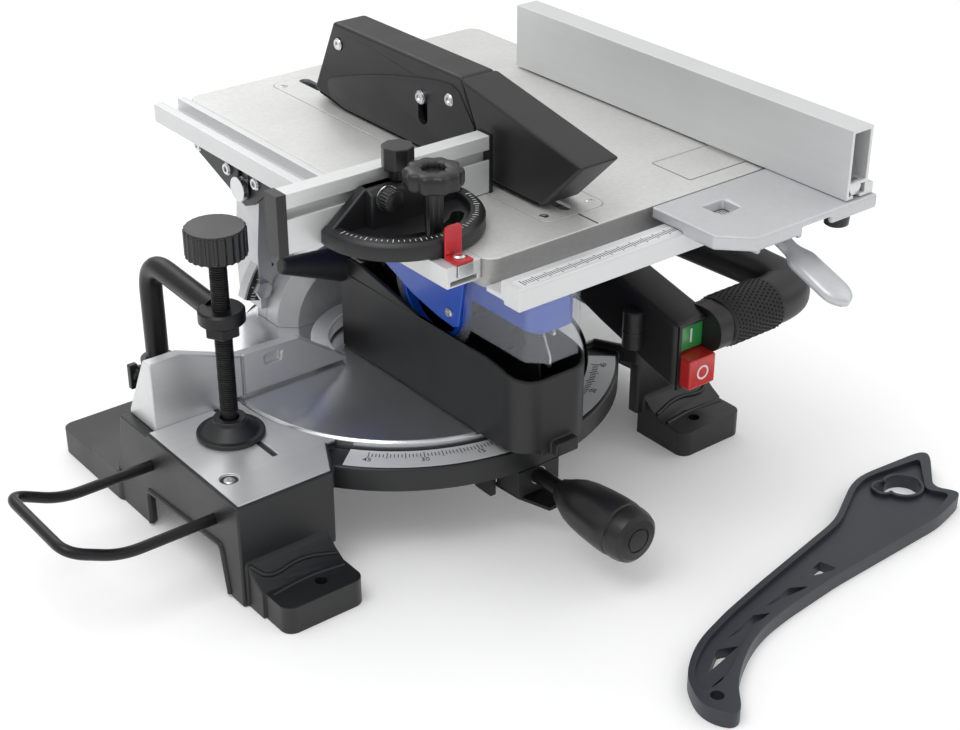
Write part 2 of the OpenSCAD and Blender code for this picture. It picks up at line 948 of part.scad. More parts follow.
// straight-sided gear teeth
module gear_outline(teeth, size) {
    pitch_r = size * teeth / 2;
    step = 360 / teeth;
    polygon([for (i = [0 : teeth - 1])
        for (q = [[-0.24, pitch_r - 1.1 * size], [-0.12, pitch_r + 0.75 * size],
                [0.12, pitch_r + 0.75 * size], [0.24, pitch_r - 1.1 * size]])
            q[1] * [cos((i + q[0]) * step), sin((i + q[0]) * step)]]);
}

module motor_stator() {
    color("#5d5f63")
        in_place()
            difference() {
                rod_x(84, 142, motor_y, motor_z, 2 * motor_r - 8 - 2 * seat_fit);
                rod_x(80, 150, motor_y, motor_z, 46);
            }
}

module motor_rotor() {
    mesh_turn = atan2(motor_dz, motor_dy);
    color("#8a6a46")
        in_place()
            union() {
                rod_x(33, 186, motor_y, motor_z, shaft_d);
                translate([36, motor_y, motor_z])
                    rotate([90, 0, 90])
                        rotate([0, 0, mesh_turn + 180 + 180 / pinion_teeth])
                            linear_extrude(10)
                                gear_outline(pinion_teeth, gear_module);
                rod_x(62, 70, motor_y, motor_z, 68);
                rod_x(86, 140, motor_y, motor_z, 44);
                rod_x(150, 166, motor_y, motor_z, 26);
            }
}

module saw_blade() {
    step = 360 / blade_teeth;
    color("#a9acb0")
        in_place()
            difference() {
                slab_x(-blade_t / 2, blade_t / 2)
                    translate([arbor_y, arbor_z])
                        polygon([for (i = [0 : blade_teeth - 1])
                            for (q = [[0, blade_r], [0.05, blade_r - 9], [0.2, blade_r - 11],
                                [0.5, blade_r - 7],
                                    [0.78, blade_r - 1.5]])
                                q[1] * [cos((i + q[0]) * step), sin((i + q[0]) * step)]]);
                rod_x(-5, 5, arbor_y, arbor_z, blade_bore);
            }
}

module blade_flanges() {
    color("#808388")
        in_place()
            difference() {
                union() {
                    rod_x(blade_t / 2, 7, arbor_y, arbor_z, 56);
                    rod_x(-blade_t / 2, blade_t / 2, arbor_y, arbor_z, blade_bore - 2 * seat_fit);
                    rod_x(-6, -blade_t / 2, arbor_y, arbor_z, 56);
                }
                rod_x(-10, 10, arbor_y, arbor_z, nose_d + 2 * seat_fit);
            }
}

module arbor() {
    mesh_turn = atan2(motor_dz, motor_dy);
    color("#8d9094")
        in_place()
            union() {
                rod_x(7, 48, arbor_y, arbor_z, arbor_d);
                rod_x(-8, 8, arbor_y, arbor_z, nose_d);
                translate([-13, arbor_y, arbor_z])
                    rotate([0, 90, 0])
                        cylinder(d = nose_d + 7, h = 7, $fn = 6);
                translate([36, arbor_y, arbor_z])
                    rotate([90, 0, 90])
                        rotate([0, 0, mesh_turn])
                            linear_extrude(10)
                                gear_outline(gear_teeth, gear_module);
            }
}

// guards

module guard_plan(inset) {
    polygon([[-25 + inset, -100], [-25 + inset, -178 + inset / 2], [-13 + inset / 2, -190 + inset],
        [13 - inset / 2, -190 + inset], [25 - inset, -178 + inset / 2], [25 - inset, -100]]);
}

module lower_guard() {
    color("#8b95a0", 0.5)
        in_place()
            difference() {
                union() {
                    intersection() {
                        slab_z(100, 240)
                            guard_plan(0);
                        slab_x(-26, 26)
                            polygon([[-190, 151.5], [-190, 234], [-112, 234], [-112, 151.5]]);
                    }
                    both_sides()
                        slab_x(23, 25) {
                            translate([arbor_y, arbor_z])
                                circle(r = guard_pivot_r + 8);
                            polygon([[-130, 151.5], [-130, 200], [-75, 210], [-75, 126], [-108, 151.5]]);
                        }
                }
                slab_z(90, 250)
                    guard_plan(2);
                block(-23, 23, -130, 0, 90, 250);
                rod_x(-30, 30, arbor_y, arbor_z, 2 * guard_pivot_r + 2 * running_fit);
            }
}

module guard_arm_outline(inset) {
    polygon([[86 - inset, 270 - 2 * inset], [57 - inset, 329 - inset], [-96, 329 - inset],
        [-112, 299], [-112, table_z + 1.5 - 2 * inset], [45, table_z + 1.5 - 2 * inset]]);
}

module guard_arm() {
    color("#202124")
        in_place()
            difference() {
                union() {
                    difference() {
                        slab_x(-arm_half, arm_half)
                            guard_arm_outline(0);
                        slab_x(guard_wall - arm_half, arm_half - guard_wall)
                            guard_arm_outline(guard_wall);
                    }
                    both_sides()
                        rod_x(1.2, arm_half - guard_wall + 0.5, guard_y, guard_z, 14);
                    both_sides()
                        rod_x(0.5, arm_half - guard_wall + 0.5, -83.5, 310, 14);
                }
                rod_x(-20, 20, guard_y, guard_z, small_pin_d + 2 * seat_fit);
                rod_x(-20, 20, -83.5, 310, small_pin_d + 2 * seat_fit);
                slab_x(-20, 20)
                    round_rect(-58.5, 284, -48.5, 308, 4.9);
            }
}

module guard_hood_outline(inset) {
    polygon([[-96.6, 329 - inset], [-112.6, 299], [-112.6, 266 - 2 * inset],
        [-183 + 4 * inset, 266 - 2 * inset],
        [-222 + 2.4 * inset, 305 - inset]]);
}

module guard_hood() {
    color("#202124")
        in_place()
            difference() {
                slab_x(-hood_half, hood_half)
                    guard_hood_outline(0);
                slab_x(guard_wall - hood_half, hood_half - guard_wall)
                    guard_hood_outline(guard_wall);
            }
}

module guard_screws() {
    color("#b8babd")
        in_place()
            for (p = [[guard_y, guard_z], [-83.5, 310]]) {
                rod_x(-arm_half - 2, arm_half + 2, p[0], p[1], small_pin_d);
                both_sides()
                    rod_x(arm_half, arm_half + 2.3, p[0], p[1], small_pin_d + 4);
            }
}

// saw table

module table_plate() {
    color("#c2c4c7")
        in_place()
            difference() {
                union() {
                    slab_z(table_z - table_t, table_z)
                        round_rect(table_left, table_front, table_right, table_back, 10);
                    difference() {
                        slab_z(table_z - skirt_h, table_z - table_t)
                            round_rect(table_left, table_front, table_right, table_back, 10);
                        slab_z(200, table_z - table_t)
                            round_rect(table_left + skirt_t, table_front + skirt_t, table_right - skirt_t,
                                table_back - skirt_t, 6);
                    }
                    rod_z(228, table_z - table_t, 42, -92, table_post_d + 10);
                }
                slab_z(table_z - 2.5, table_z + 1)
                    round_rect(-table_insert_half - seat_fit, -200 - seat_fit, table_insert_half + seat_fit,
                        130 + seat_fit, 8);
                slab_z(200, table_z + 1)
                    round_rect(4 - table_insert_half, -196, table_insert_half - 4, 126, 6);
                rod_z(200, table_z - table_t - 1, 42, -92, table_post_d + 2 * slide_fit);
                block(96, 150, -205, -167, table_z - 0.6, table_z + 1);
            }
}

module table_insert() {
    color("#bcbec1")
        in_place()
            difference() {
                slab_z(table_z - 2.5, table_z)
                    round_rect(-table_insert_half, -200, table_insert_half, 130, 8);
                slab_z(table_z - 3, table_z + 1)
                    round_rect(-4.5, -192, 4.5, 125, 4.4);
            }
}

module slot_rail() {
    color("#cfd1d3")
        in_place()
            difference() {
                block(-117, table_left, -214, 148, table_z - 14, table_z);
                block(gauge_x - gauge_slot / 2, gauge_x + gauge_slot / 2, -216, 150,
                    table_z - guide_h - guide_fit, table_z + 1);
                block(-114, -93.5, -216, 150, table_z - 13, table_z - guide_h - guide_fit - 1.6);
            }
}

module front_rail() {
    color("#cfd1d3")
        in_place()
            union() {
                slab_x(-92, 214)
                    polygon([[rail_y0, rail_z0], [rail_y0, rail_z1 - 1], [rail_y0 + 1, rail_z1],
                        [rail_y1, rail_z1],
                        [rail_y1, rail_z0 + 6], [table_front, rail_z0 + 6], [table_front, rail_z0 + 2.5],
                        [rail_y1 - 3, rail_z0 + 2.5],
                        [rail_y1 - 3, rail_z0]]);
            }
}

module bracket_outline() {
    difference() {
        polygon([[112, 178], [122, 181], [182, 203], [186, 209], [182, 216], [140, 240],
            [140, table_z - table_t],
            [54, table_z - table_t], [62, 212], [98, 184]]);
        translate([hinge_y, hinge_z])
            circle(d = hinge_d + 1);
        translate([hinge_y, hinge_z + 18])
            circle(d = hinge_d + 1);
        translate([hinge_y - hinge_d / 2 - 0.5, hinge_z])
            square([hinge_d + 1, 18]);
    }
}

module table_brackets() {
    color("#1e1f22")
        in_place()
            both_sides()
                slab_x(62 + face_gap, 66)
                    bracket_outline();
}

module table_lock_knob() {
    color("#1b1c1e")
        in_place()
            difference() {
                union() {
                    rod_x(66 + face_gap, 74, hinge_y, hinge_z, 22);
                    rod_x(74, 92, hinge_y, hinge_z, 30);
                    for (a = [0 : 72 : 288])
                        rod_x(75, 91, hinge_y + 15 * cos(a), hinge_z + 15 * sin(a), 13);
                }
                rod_x(60, 88 + face_gap, hinge_y, hinge_z, hinge_d + 2 * running_fit);
            }
}

// rip fence

module rip_carriage() {
    color("#c6c8ca")
        in_place()
            difference() {
                union() {
                    slab_z(rail_z1 + rail_fit, table_z + 1)
                        polygon([[43, -224], [43, -281], [62, -300], [176, -300], [176, -224]]);
                    slab_z(table_z - 9, table_z)
                        polygon([[43, rail_y0 - rail_fit], [43, -281], [62, -300], [176, -300],
                            [176, rail_y0 - rail_fit]]);
                    both_sides_of(118, 24)
                        block(-6, 6, lever_y - 8, rail_y0 - rail_fit, lever_z - 9, table_z - 5);
                }
                slab_z(230, table_z - 4)
                    polygon([[47, rail_y0 - 5], [47, -279], [64, -296], [172, -296], [172, rail_y0 - 5],
                        [140, rail_y0 - 5], [140, -276], [96, -276], [96, rail_y0 - 5]]);
                block(104, 132, -301, -290, 240, table_z - 4);
                block(70, 89, -259, -243, 230, 270);
                rod_x(90, 150, lever_y, lever_z, small_pin_d + 2 * running_fit);
            }
}

// two copies at equal distance from a middle along X
module both_sides_of(middle, reach) {
    translate([middle - reach, 0, 0])
        children();
    translate([middle + reach, 0, 0])
        children();
}

module rip_profile() {
    z0 = table_z + 1.4;
    color("#d0d2d4")
        in_place()
            slab_y(-297, 44)
                difference() {
                    union() {
                        translate([148, z0])
                            square([20, rip_h]);
                        translate([166, z0])
                            square([8, 8]);
                    }
                    translate([150.5, z0 + 12])
                        square([15, rip_h - 14.5]);
                    translate([150.5, z0 + 2.5])
                        square([15, 7]);
                    translate([155, z0 - 1])
                        square([6, 5]);
                }
}

module rip_lever() {
    color("#c8cacc")
        in_place()
            union() {
                rod_x(96.5, 139.5, lever_y, lever_z, small_pin_d);
                rod_x(106.5, 129.5, lever_y, lever_z, 13);
                slab_x(108, 128)
                    polygon([[lever_y, lever_z + 6], [lever_y, lever_z - 6], [-318, 210], [-330, 212],
                        [-332, 218],
                        [-326, 222]]);
            }
}

// mitre gauge

module gauge_guide() {
    color("#b4b6b9")
        in_place()
            difference() {
                union() {
                    block(gauge_x - gauge_slot / 2 + guide_fit, gauge_x + gauge_slot / 2 - guide_fit,
                        -215, -70,
                        table_z - guide_h, table_z - 0.2);
                    rod_z(table_z - 1, head_floor - 1, gauge_x, knob_y, small_pin_d + 2);
                    rod_z(table_z, knob_low + 2, gauge_x, knob_y, small_pin_d);
                    rod_z(table_z - 1, table_z + 9, gauge_x, gauge_y, small_pin_d + 2);
                }
                rod_z(240, table_z + 1, gauge_x, -208, 4 + 2 * seat_fit);
            }
}

module gauge_pointer() {
    color("#b3161f")
        in_place()
            union() {
                block(gauge_x - 7, gauge_x + 6, -215, -202, table_z + 0.2, table_z + 2);
                slab_y(-203.6, -202)
                    round_rect(gauge_x - 7, table_z + 0.2, gauge_x + 6, table_z + 22, 3);
                rod_z(table_z - 6, table_z + 2, gauge_x, -208, 4);
                rod_z(table_z + 2, table_z + 3.6, gauge_x, -208, 8);
            }
}

// slot for the lock stud, an arc about the gauge pivot
module stud_slot() {
    slot_w = small_pin_d + 2 + 0.8;
    intersection() {
        difference() {
            rod_z(240, 290, gauge_x, gauge_y, 2 * gauge_slot_r + slot_w);
            rod_z(230, 300, gauge_x, gauge_y, 2 * gauge_slot_r - slot_w);
        }
        slab_z(230, 300)
            polygon([[gauge_x, gauge_y], [gauge_x - 70, gauge_y - 52], [gauge_x, gauge_y - 120],
                [gauge_x + 70, gauge_y - 52]]);
    }
}

module gauge_head() {
    color("#1e1f22")
        in_place()
            difference() {
                union() {
                    intersection() {
                        union() {
                            rod_z(table_z + 1, table_z + 10, gauge_x, gauge_y, 2 * gauge_r);
                            translate([gauge_x, gauge_y, table_z + 10])
                                cylinder(r1 = gauge_r, r2 = gauge_r - 3, h = 3);
                        }
                        block(gauge_x - 60, gauge_x + 60, gauge_y - 60, bar_front, 250, 300);
                    }
                    block(gauge_x - 26, gauge_x + 26, boss_front, bar_front, table_z + 1, head_top);
                    slab_y(bar_front - 8, bar_front)
                        polygon([[gauge_x - gauge_r, table_z + 1], [gauge_x - gauge_r, table_z + 10],
                            [gauge_x - 26, head_top],
                            [gauge_x + 26, head_top], [gauge_x + gauge_r, table_z + 10],
                            [gauge_x + gauge_r, table_z + 1]]);
                }
                intersection() {
                    rod_z(head_floor, 320, gauge_x, gauge_y, 2 * gauge_r - 18);
                    block(gauge_x - 60, gauge_x + 60, gauge_y - 60, boss_front, 250, 300);
                }
                stud_slot();
                rod_z(240, table_z + 9 + face_gap, gauge_x, gauge_y, small_pin_d + 2 + 2 * running_fit);
                rod_y(boss_front - 2, bar_front + 2, thumb_x, thumb_z, small_pin_d + 2 * running_fit);
                rod_z(table_z + 13, table_z + 60, gauge_x, gauge_y, small_pin_d + 2 * running_fit);
            }
}

module gauge_fence() {
    z0 = table_z + 0.5;
    color("#d0d2d4")
        in_place()
            difference() {
                block(bar_left, bar_right, bar_front + face_gap, bar_back, z0, z0 + 40);
                block(bar_left - 1, bar_right + 1, bar_front - 2, bar_front + 4.5,
                    thumb_z - 3.5, thumb_z + 3.5);
                block(bar_left - 1, bar_right + 1, bar_front + 2, bar_front + 6.5,
                    thumb_z - 6, thumb_z + 6);
                block(bar_left - 1, bar_right + 1, bar_front + 3, bar_back - 2.5, z0 + 2.5, z0 + 18);
            }
}

module gauge_knob() {
    color("#1b1c1e")
        in_place()
            difference() {
                union() {
                    translate([gauge_x, knob_y, head_floor + face_gap])
                        cylinder(d1 = 11, d2 = 13, h = knob_low - head_floor);
                    rod_z(knob_low, knob_low + 13, gauge_x, knob_y, 34);
                    for (a = [0 : 36 : 324])
                        rod_z(knob_low + 1, knob_low + 12, gauge_x + 16 * cos(a),
                            knob_y + 16 * sin(a), 6);
                }
                rod_z(table_z, knob_low + 2 + face_gap, gauge_x, knob_y, small_pin_d + 2 * running_fit);
                rod_z(knob_low + 9, knob_low + 20, gauge_x, knob_y, 16);
            }
}

module gauge_thumb_top() {
    color("#1b1c1e")
        in_place()
            union() {
                rod_z(table_z + 14, table_z + 44, gauge_x, gauge_y, small_pin_d);
                rod_z(head_top + face_gap, head_top + 9, gauge_x, gauge_y, 12);
                translate([gauge_x, gauge_y, head_top + 8])
                    cylinder(d = 21.5, h = 15, $fn = 8);
            }
}

module gauge_thumb_side() {
    color("#1b1c1e")
        in_place()
            union() {
                rod_y(boss_front - 4, bar_front + 6, thumb_x, thumb_z, small_pin_d);
                rod_y(boss_front - 10, boss_front - face_gap, thumb_x, thumb_z, 14);
                rod_y(bar_front + 4.6, bar_front + 6.3, thumb_x, thumb_z, 9);
            }
}

// switch

module start_button() {
    color("#3c9a54")
        in_place()
            block(103, 127, -197, -178, 123.5, 146);
}

module stop_button() {
    color("#c9302f")
        in_place()
            block(102, 128, -211, -178, 99, 122.5);
}

// push stick lying on the bench in front

module stick_outline() {
    polygon([[4, 23], [16, 29], [33, 34], [50, 36], [82, 35], [124, 31], [216, 20], [229, 20], [250, 24],
        [271, 28],
        [285, 28], [297, 25], [346, 4], [350, -2], [345, -7], [306, -24], [311, -41], [306, -45],
        [278, -43],
        [267, -41], [163, -10], [111, 2], [86, 6], [65, 6], [46, 3], [28, -2], [14, -8], [2, -16],
        [-6, -19],
        [-12, -15], [-14, -3], [-10, 9]]);
}

// floor between the rims
module stick_floor() {
    polygon([[-2, 8], [9, 21], [18, 25], [34, 29], [50, 31], [82, 30], [124, 26], [216, 15], [229, 15],
        [250, 19],
        [271, 23], [285, 23], [296, 20], [338, -1], [299, -21], [304, -38], [280, -38], [268, -36],
        [164, -5],
        [112, 7], [86, 11], [64, 11], [44, 8], [26, 4], [14, 4]]);
}

module push_stick() {
    floor_z = stick_t - stick_rim;
    color("#2b2f36")
        in_place()
            translate([-42, -392, 0])
                rotate([0, 0, 18])
                    difference() {
                        union() {
                            difference() {
                                slab_z(0, stick_t)
                                    stick_outline();
                                slab_z(floor_z, stick_t + 1)
                                    stick_floor();
                            }
                            rod_z(floor_z - 1, stick_t - 0.5, 0, 0, 16);
                            rod_z(floor_z - 1, stick_t - 0.5, 297, -4, 33);
                        }
                        rod_z(-1, stick_t + 1, 0, 0, 9);
                        rod_z(-1, stick_t + 1, 297, -4, 27);
                        rod_z(-1, stick_t + 1, 286, 7, 14);
                        slab_z(-1, stick_t + 1)
                            polygon([[146, 12], [175, 8], [174, -6]]);
                        slab_z(-1, stick_t + 1)
                            polygon([[106, 17], [134, 13], [144, 2]]);
                        slab_z(-1, stick_t + 1)
                            polygon([[60, 23], [92, 20], [104, 9]]);
                        slab_z(-1, stick_t + 1)
                            polygon([[20, 17], [46, 23], [57, 13]]);
                        slab_z(-1, stick_t + 1)
                            polygon([[9, 9], [24, 7], [14, 5]]);
                    }
}

base_casting();
wing_plates();
deck_screw_set();
fence();
pivot_bolt();
support_bar();
clamp_post();
clamp_wing_screw();
clamp_spindle();
clamp_knob();
clamp_pad();
turntable();
kerf_insert();
blade_trough();
bevel_support();
bevel_arm();
bevel_bolt();
bevel_lever();
mitre_rod();
mitre_grip();
detent_lever();
hinge_pin();
return_spring();
head_lock_pin();
blade_housing();
side_plate();
motor_housing();
motor_cap();
handle_shell();
handle_grip();
dust_spout();
riving_knife();
motor_stator();
motor_rotor();
saw_blade();
blade_flanges();
arbor();
lower_guard();
guard_arm();
guard_hood();
guard_screws();
table_plate();
table_insert();
slot_rail();
front_rail();
table_brackets();
table_lock_knob();
rip_carriage();
rip_profile();
rip_lever();
gauge_guide();
gauge_pointer();
gauge_head();
gauge_fence();
gauge_knob();
gauge_thumb_top();
gauge_thumb_side();
start_button();
stop_button();
push_stick();
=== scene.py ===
"""Studio dressing of a bench-top combination saw: finishes, fine pieces, light and camera.

Lengths in the classes are millimetres, laid out from the turntable axis as the solids are.
"""

from __future__ import annotations

import json
import logging
import math
from dataclasses import dataclass, field
from enum import Enum
from typing import Any, Callable, Sequence

import bmesh
import bpy
from mathutils import Euler, Matrix, Vector

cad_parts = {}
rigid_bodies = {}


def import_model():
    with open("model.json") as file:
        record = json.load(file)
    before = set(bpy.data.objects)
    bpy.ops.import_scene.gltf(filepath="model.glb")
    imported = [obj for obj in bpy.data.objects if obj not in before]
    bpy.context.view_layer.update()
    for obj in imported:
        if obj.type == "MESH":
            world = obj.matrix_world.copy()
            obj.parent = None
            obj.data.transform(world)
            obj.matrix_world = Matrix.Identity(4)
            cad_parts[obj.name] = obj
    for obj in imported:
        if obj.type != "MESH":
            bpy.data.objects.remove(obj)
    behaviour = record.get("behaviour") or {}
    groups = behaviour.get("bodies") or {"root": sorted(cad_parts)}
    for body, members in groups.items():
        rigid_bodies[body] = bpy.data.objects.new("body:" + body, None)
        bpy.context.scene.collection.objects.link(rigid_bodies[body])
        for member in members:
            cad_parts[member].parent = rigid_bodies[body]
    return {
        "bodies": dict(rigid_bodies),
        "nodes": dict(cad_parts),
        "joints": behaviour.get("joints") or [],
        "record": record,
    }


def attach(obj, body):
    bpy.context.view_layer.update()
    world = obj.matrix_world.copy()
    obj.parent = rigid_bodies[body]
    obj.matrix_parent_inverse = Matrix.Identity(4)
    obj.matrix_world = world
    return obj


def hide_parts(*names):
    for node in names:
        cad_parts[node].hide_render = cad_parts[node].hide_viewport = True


LOG = logging.getLogger("saw")
MM = 0.001
TURNTABLE_Y = 12.0

X_AXIS = Vector((1, 0, 0))
Y_AXIS = Vector((0, 1, 0))
Z_AXIS = Vector((0, 0, 1))
Point2 = tuple[float, float]
Section = Callable[[float], Sequence[Point2]]


def at(x: float, y: float, z: float) -> Vector:
    """Turns a place about the turntable axis, in millimetres, into metres in the frame."""
    return Vector((x, y + TURNTABLE_Y, z)) * MM


class Grain(Enum):
    """How a surface was made, which sets the direction and fineness of its texture."""

    MOULDED = "moulded"
    CAST = "cast"
    DRAWN_X = "drawn along the width"
    DRAWN_Y = "drawn along the depth"
    TURNED = "turned about the table axis"
    SMOOTH = "smooth"


GRAIN_STRETCH: dict[Grain, tuple[float, float, float]] = {Grain.MOULDED: (1.0, 1.0, 1.0),
                                                          Grain.CAST: (1.0, 1.0, 1.0),
                                                          Grain.DRAWN_X: (0.015, 1.0, 1.0),
                                                          Grain.DRAWN_Y: (1.0, 0.015, 1.0),
                                                          Grain.TURNED: (1.0, 1.0, 1.0),
                                                          Grain.SMOOTH: (1.0, 1.0, 1.0),}


class TreeSketch:
    """Short hand for building a node tree: adds nodes, sets values and joins sockets."""

    def __init__(self, tree: bpy.types.NodeTree) -> None:
        """Keeps the tree that the other methods add to.

        Args:
            tree: Node tree to build in.
        """
        self.tree = tree

    def node(self, kind: str, settings: dict[str, Any] | None = None, **values: Any) -> bpy.types.Node:
        """Adds one node and fills its inputs.

        Args:
            kind: Node type name.
            settings: Properties of the node itself.
            values: Inputs by name, with spaces as underscores; a socket is joined, anything else is set.

        Returns:
            The new node.
        """
        made = self.tree.nodes.new(kind)
        for name, value in (settings or {}).items():
            setattr(made, name, value)
        for name, value in values.items():
            self.put(made.inputs[name.replace("_", " ")], value)
        return made

    def put(self, socket: bpy.types.NodeSocket, value: Any) -> None:
        """Joins a socket to another socket, or sets its value."""
        if isinstance(value, bpy.types.NodeSocket):
            self.tree.links.new(value, socket)
        else:
            socket.default_value = value

    def math(self, operation: str, first: Any, second: Any = 0.0) -> bpy.types.NodeSocket:
        """Adds a Math node and returns its result.

        Args:
            operation: Name of the operation.
            first: First value or socket.
            second: Second value or socket.

        Returns:
            The output socket.
        """
        made = self.tree.nodes.new("ShaderNodeMath")
        made.operation = operation
        self.put(made.inputs[0], first)
        self.put(made.inputs[1], second)
        return made.outputs[0]

    def xyz(self, x: Any, y: Any, z: Any) -> bpy.types.NodeSocket:
        """Joins three values into a vector socket."""
        return self.node("ShaderNodeCombineXYZ", X=x, Y=y, Z=z).outputs[0]

    def sockets(self, direction: str, **kinds: str) -> None:
        """Adds named sockets to the tree's own interface.

        Args:
            direction: INPUT or OUTPUT.
            kinds: Socket kind by name, with spaces as underscores.
        """
        for name, kind in kinds.items():
            self.tree.interface.new_socket(name.replace("_", " "), in_out=direction,
                                           socket_type=f"NodeSocket{kind}")


class ShaderGroups:
    """Node groups that the materials share."""

    @staticmethod
    def surface_grain() -> bpy.types.NodeTree:
        """Fine texture of a surface, as a height and a mask.

        Returns:
            The node group, built once.
        """
        found = bpy.data.node_groups.get("surface grain")
        if found:
            return found
        sketch = TreeSketch(bpy.data.node_groups.new("surface grain", "ShaderNodeTree"))
        sketch.sockets("INPUT", Vector="Vector", Fineness="Float")
        sketch.sockets("OUTPUT", Height="Float", Mask="Float")
        entry = sketch.node("NodeGroupInput")
        fine = sketch.node("ShaderNodeTexNoise", Vector=entry.outputs["Vector"],
                           Scale=entry.outputs["Fineness"], Detail=3.0, Roughness=0.6)
        broad_scale = sketch.math("MULTIPLY", entry.outputs["Fineness"], 0.13)
        broad = sketch.node("ShaderNodeTexNoise", Vector=entry.outputs["Vector"], Scale=broad_scale,
                            Detail=2.0)
        part = sketch.math("MULTIPLY", broad.outputs["Fac"], 0.35)
        height = sketch.math("ADD", sketch.math("MULTIPLY", fine.outputs["Fac"], 0.65), part)
        leave = sketch.node("NodeGroupOutput")
        sketch.put(leave.inputs["Height"], height)
        sketch.put(leave.inputs["Mask"], broad.outputs["Fac"])
        return sketch.tree

    @staticmethod
    def tint_drift() -> bpy.types.NodeTree:
        """Slow change of tone over a surface.

        Returns:
            The node group, built once.
        """
        found = bpy.data.node_groups.get("tint drift")
        if found:
            return found
        sketch = TreeSketch(bpy.data.node_groups.new("tint drift", "ShaderNodeTree"))
        sketch.sockets("INPUT", Vector="Vector", Dark="Color", Light="Color", Grain="Float")
        sketch.sockets("OUTPUT", Color="Color")
        entry = sketch.node("NodeGroupInput")
        cloud = sketch.node("ShaderNodeTexNoise", Vector=entry.outputs["Vector"], Scale=22.0, Detail=4.0)
        both = sketch.math("ADD", sketch.math("MULTIPLY", cloud.outputs["Fac"], 0.55),
                           sketch.math("MULTIPLY", entry.outputs["Grain"], 0.45))
        spread = sketch.node("ShaderNodeMapRange", Value=both, From_Min=0.3, From_Max=0.7)
        mix = sketch.node("ShaderNodeMix", {"data_type": "RGBA"})
        sketch.put(mix.inputs["Factor"], spread.outputs["Result"])
        sketch.put(mix.inputs[6], entry.outputs["Dark"])
        sketch.put(mix.inputs[7], entry.outputs["Light"])
        leave = sketch.node("NodeGroupOutput")
        sketch.put(leave.inputs["Color"], mix.outputs[2])
        return sketch.tree

    @staticmethod
    def handling_marks() -> bpy.types.NodeTree:
        """Faint smears and rubbed spots that change how sharply a surface shines.

        Returns:
            The node group, built once.
        """
        found = bpy.data.node_groups.get("handling marks")
        if found:
            return found
        sketch = TreeSketch(bpy.data.node_groups.new("handling marks", "ShaderNodeTree"))
        sketch.sockets("INPUT", Vector="Vector", Low="Float", High="Float")
        sketch.sockets("OUTPUT", Roughness="Float")
        entry = sketch.node("NodeGroupInput")
        smear = sketch.node("ShaderNodeTexNoise", Vector=entry.outputs["Vector"], Scale=24.0, Detail=2.0)
        spread = sketch.node("ShaderNodeMapRange", Value=smear.outputs["Fac"], From_Min=0.35, From_Max=0.65,
                             To_Min=entry.outputs["Low"], To_Max=entry.outputs["High"])
        leave = sketch.node("NodeGroupOutput")
        sketch.put(leave.inputs["Roughness"], spread.outputs["Result"])
        return sketch.tree


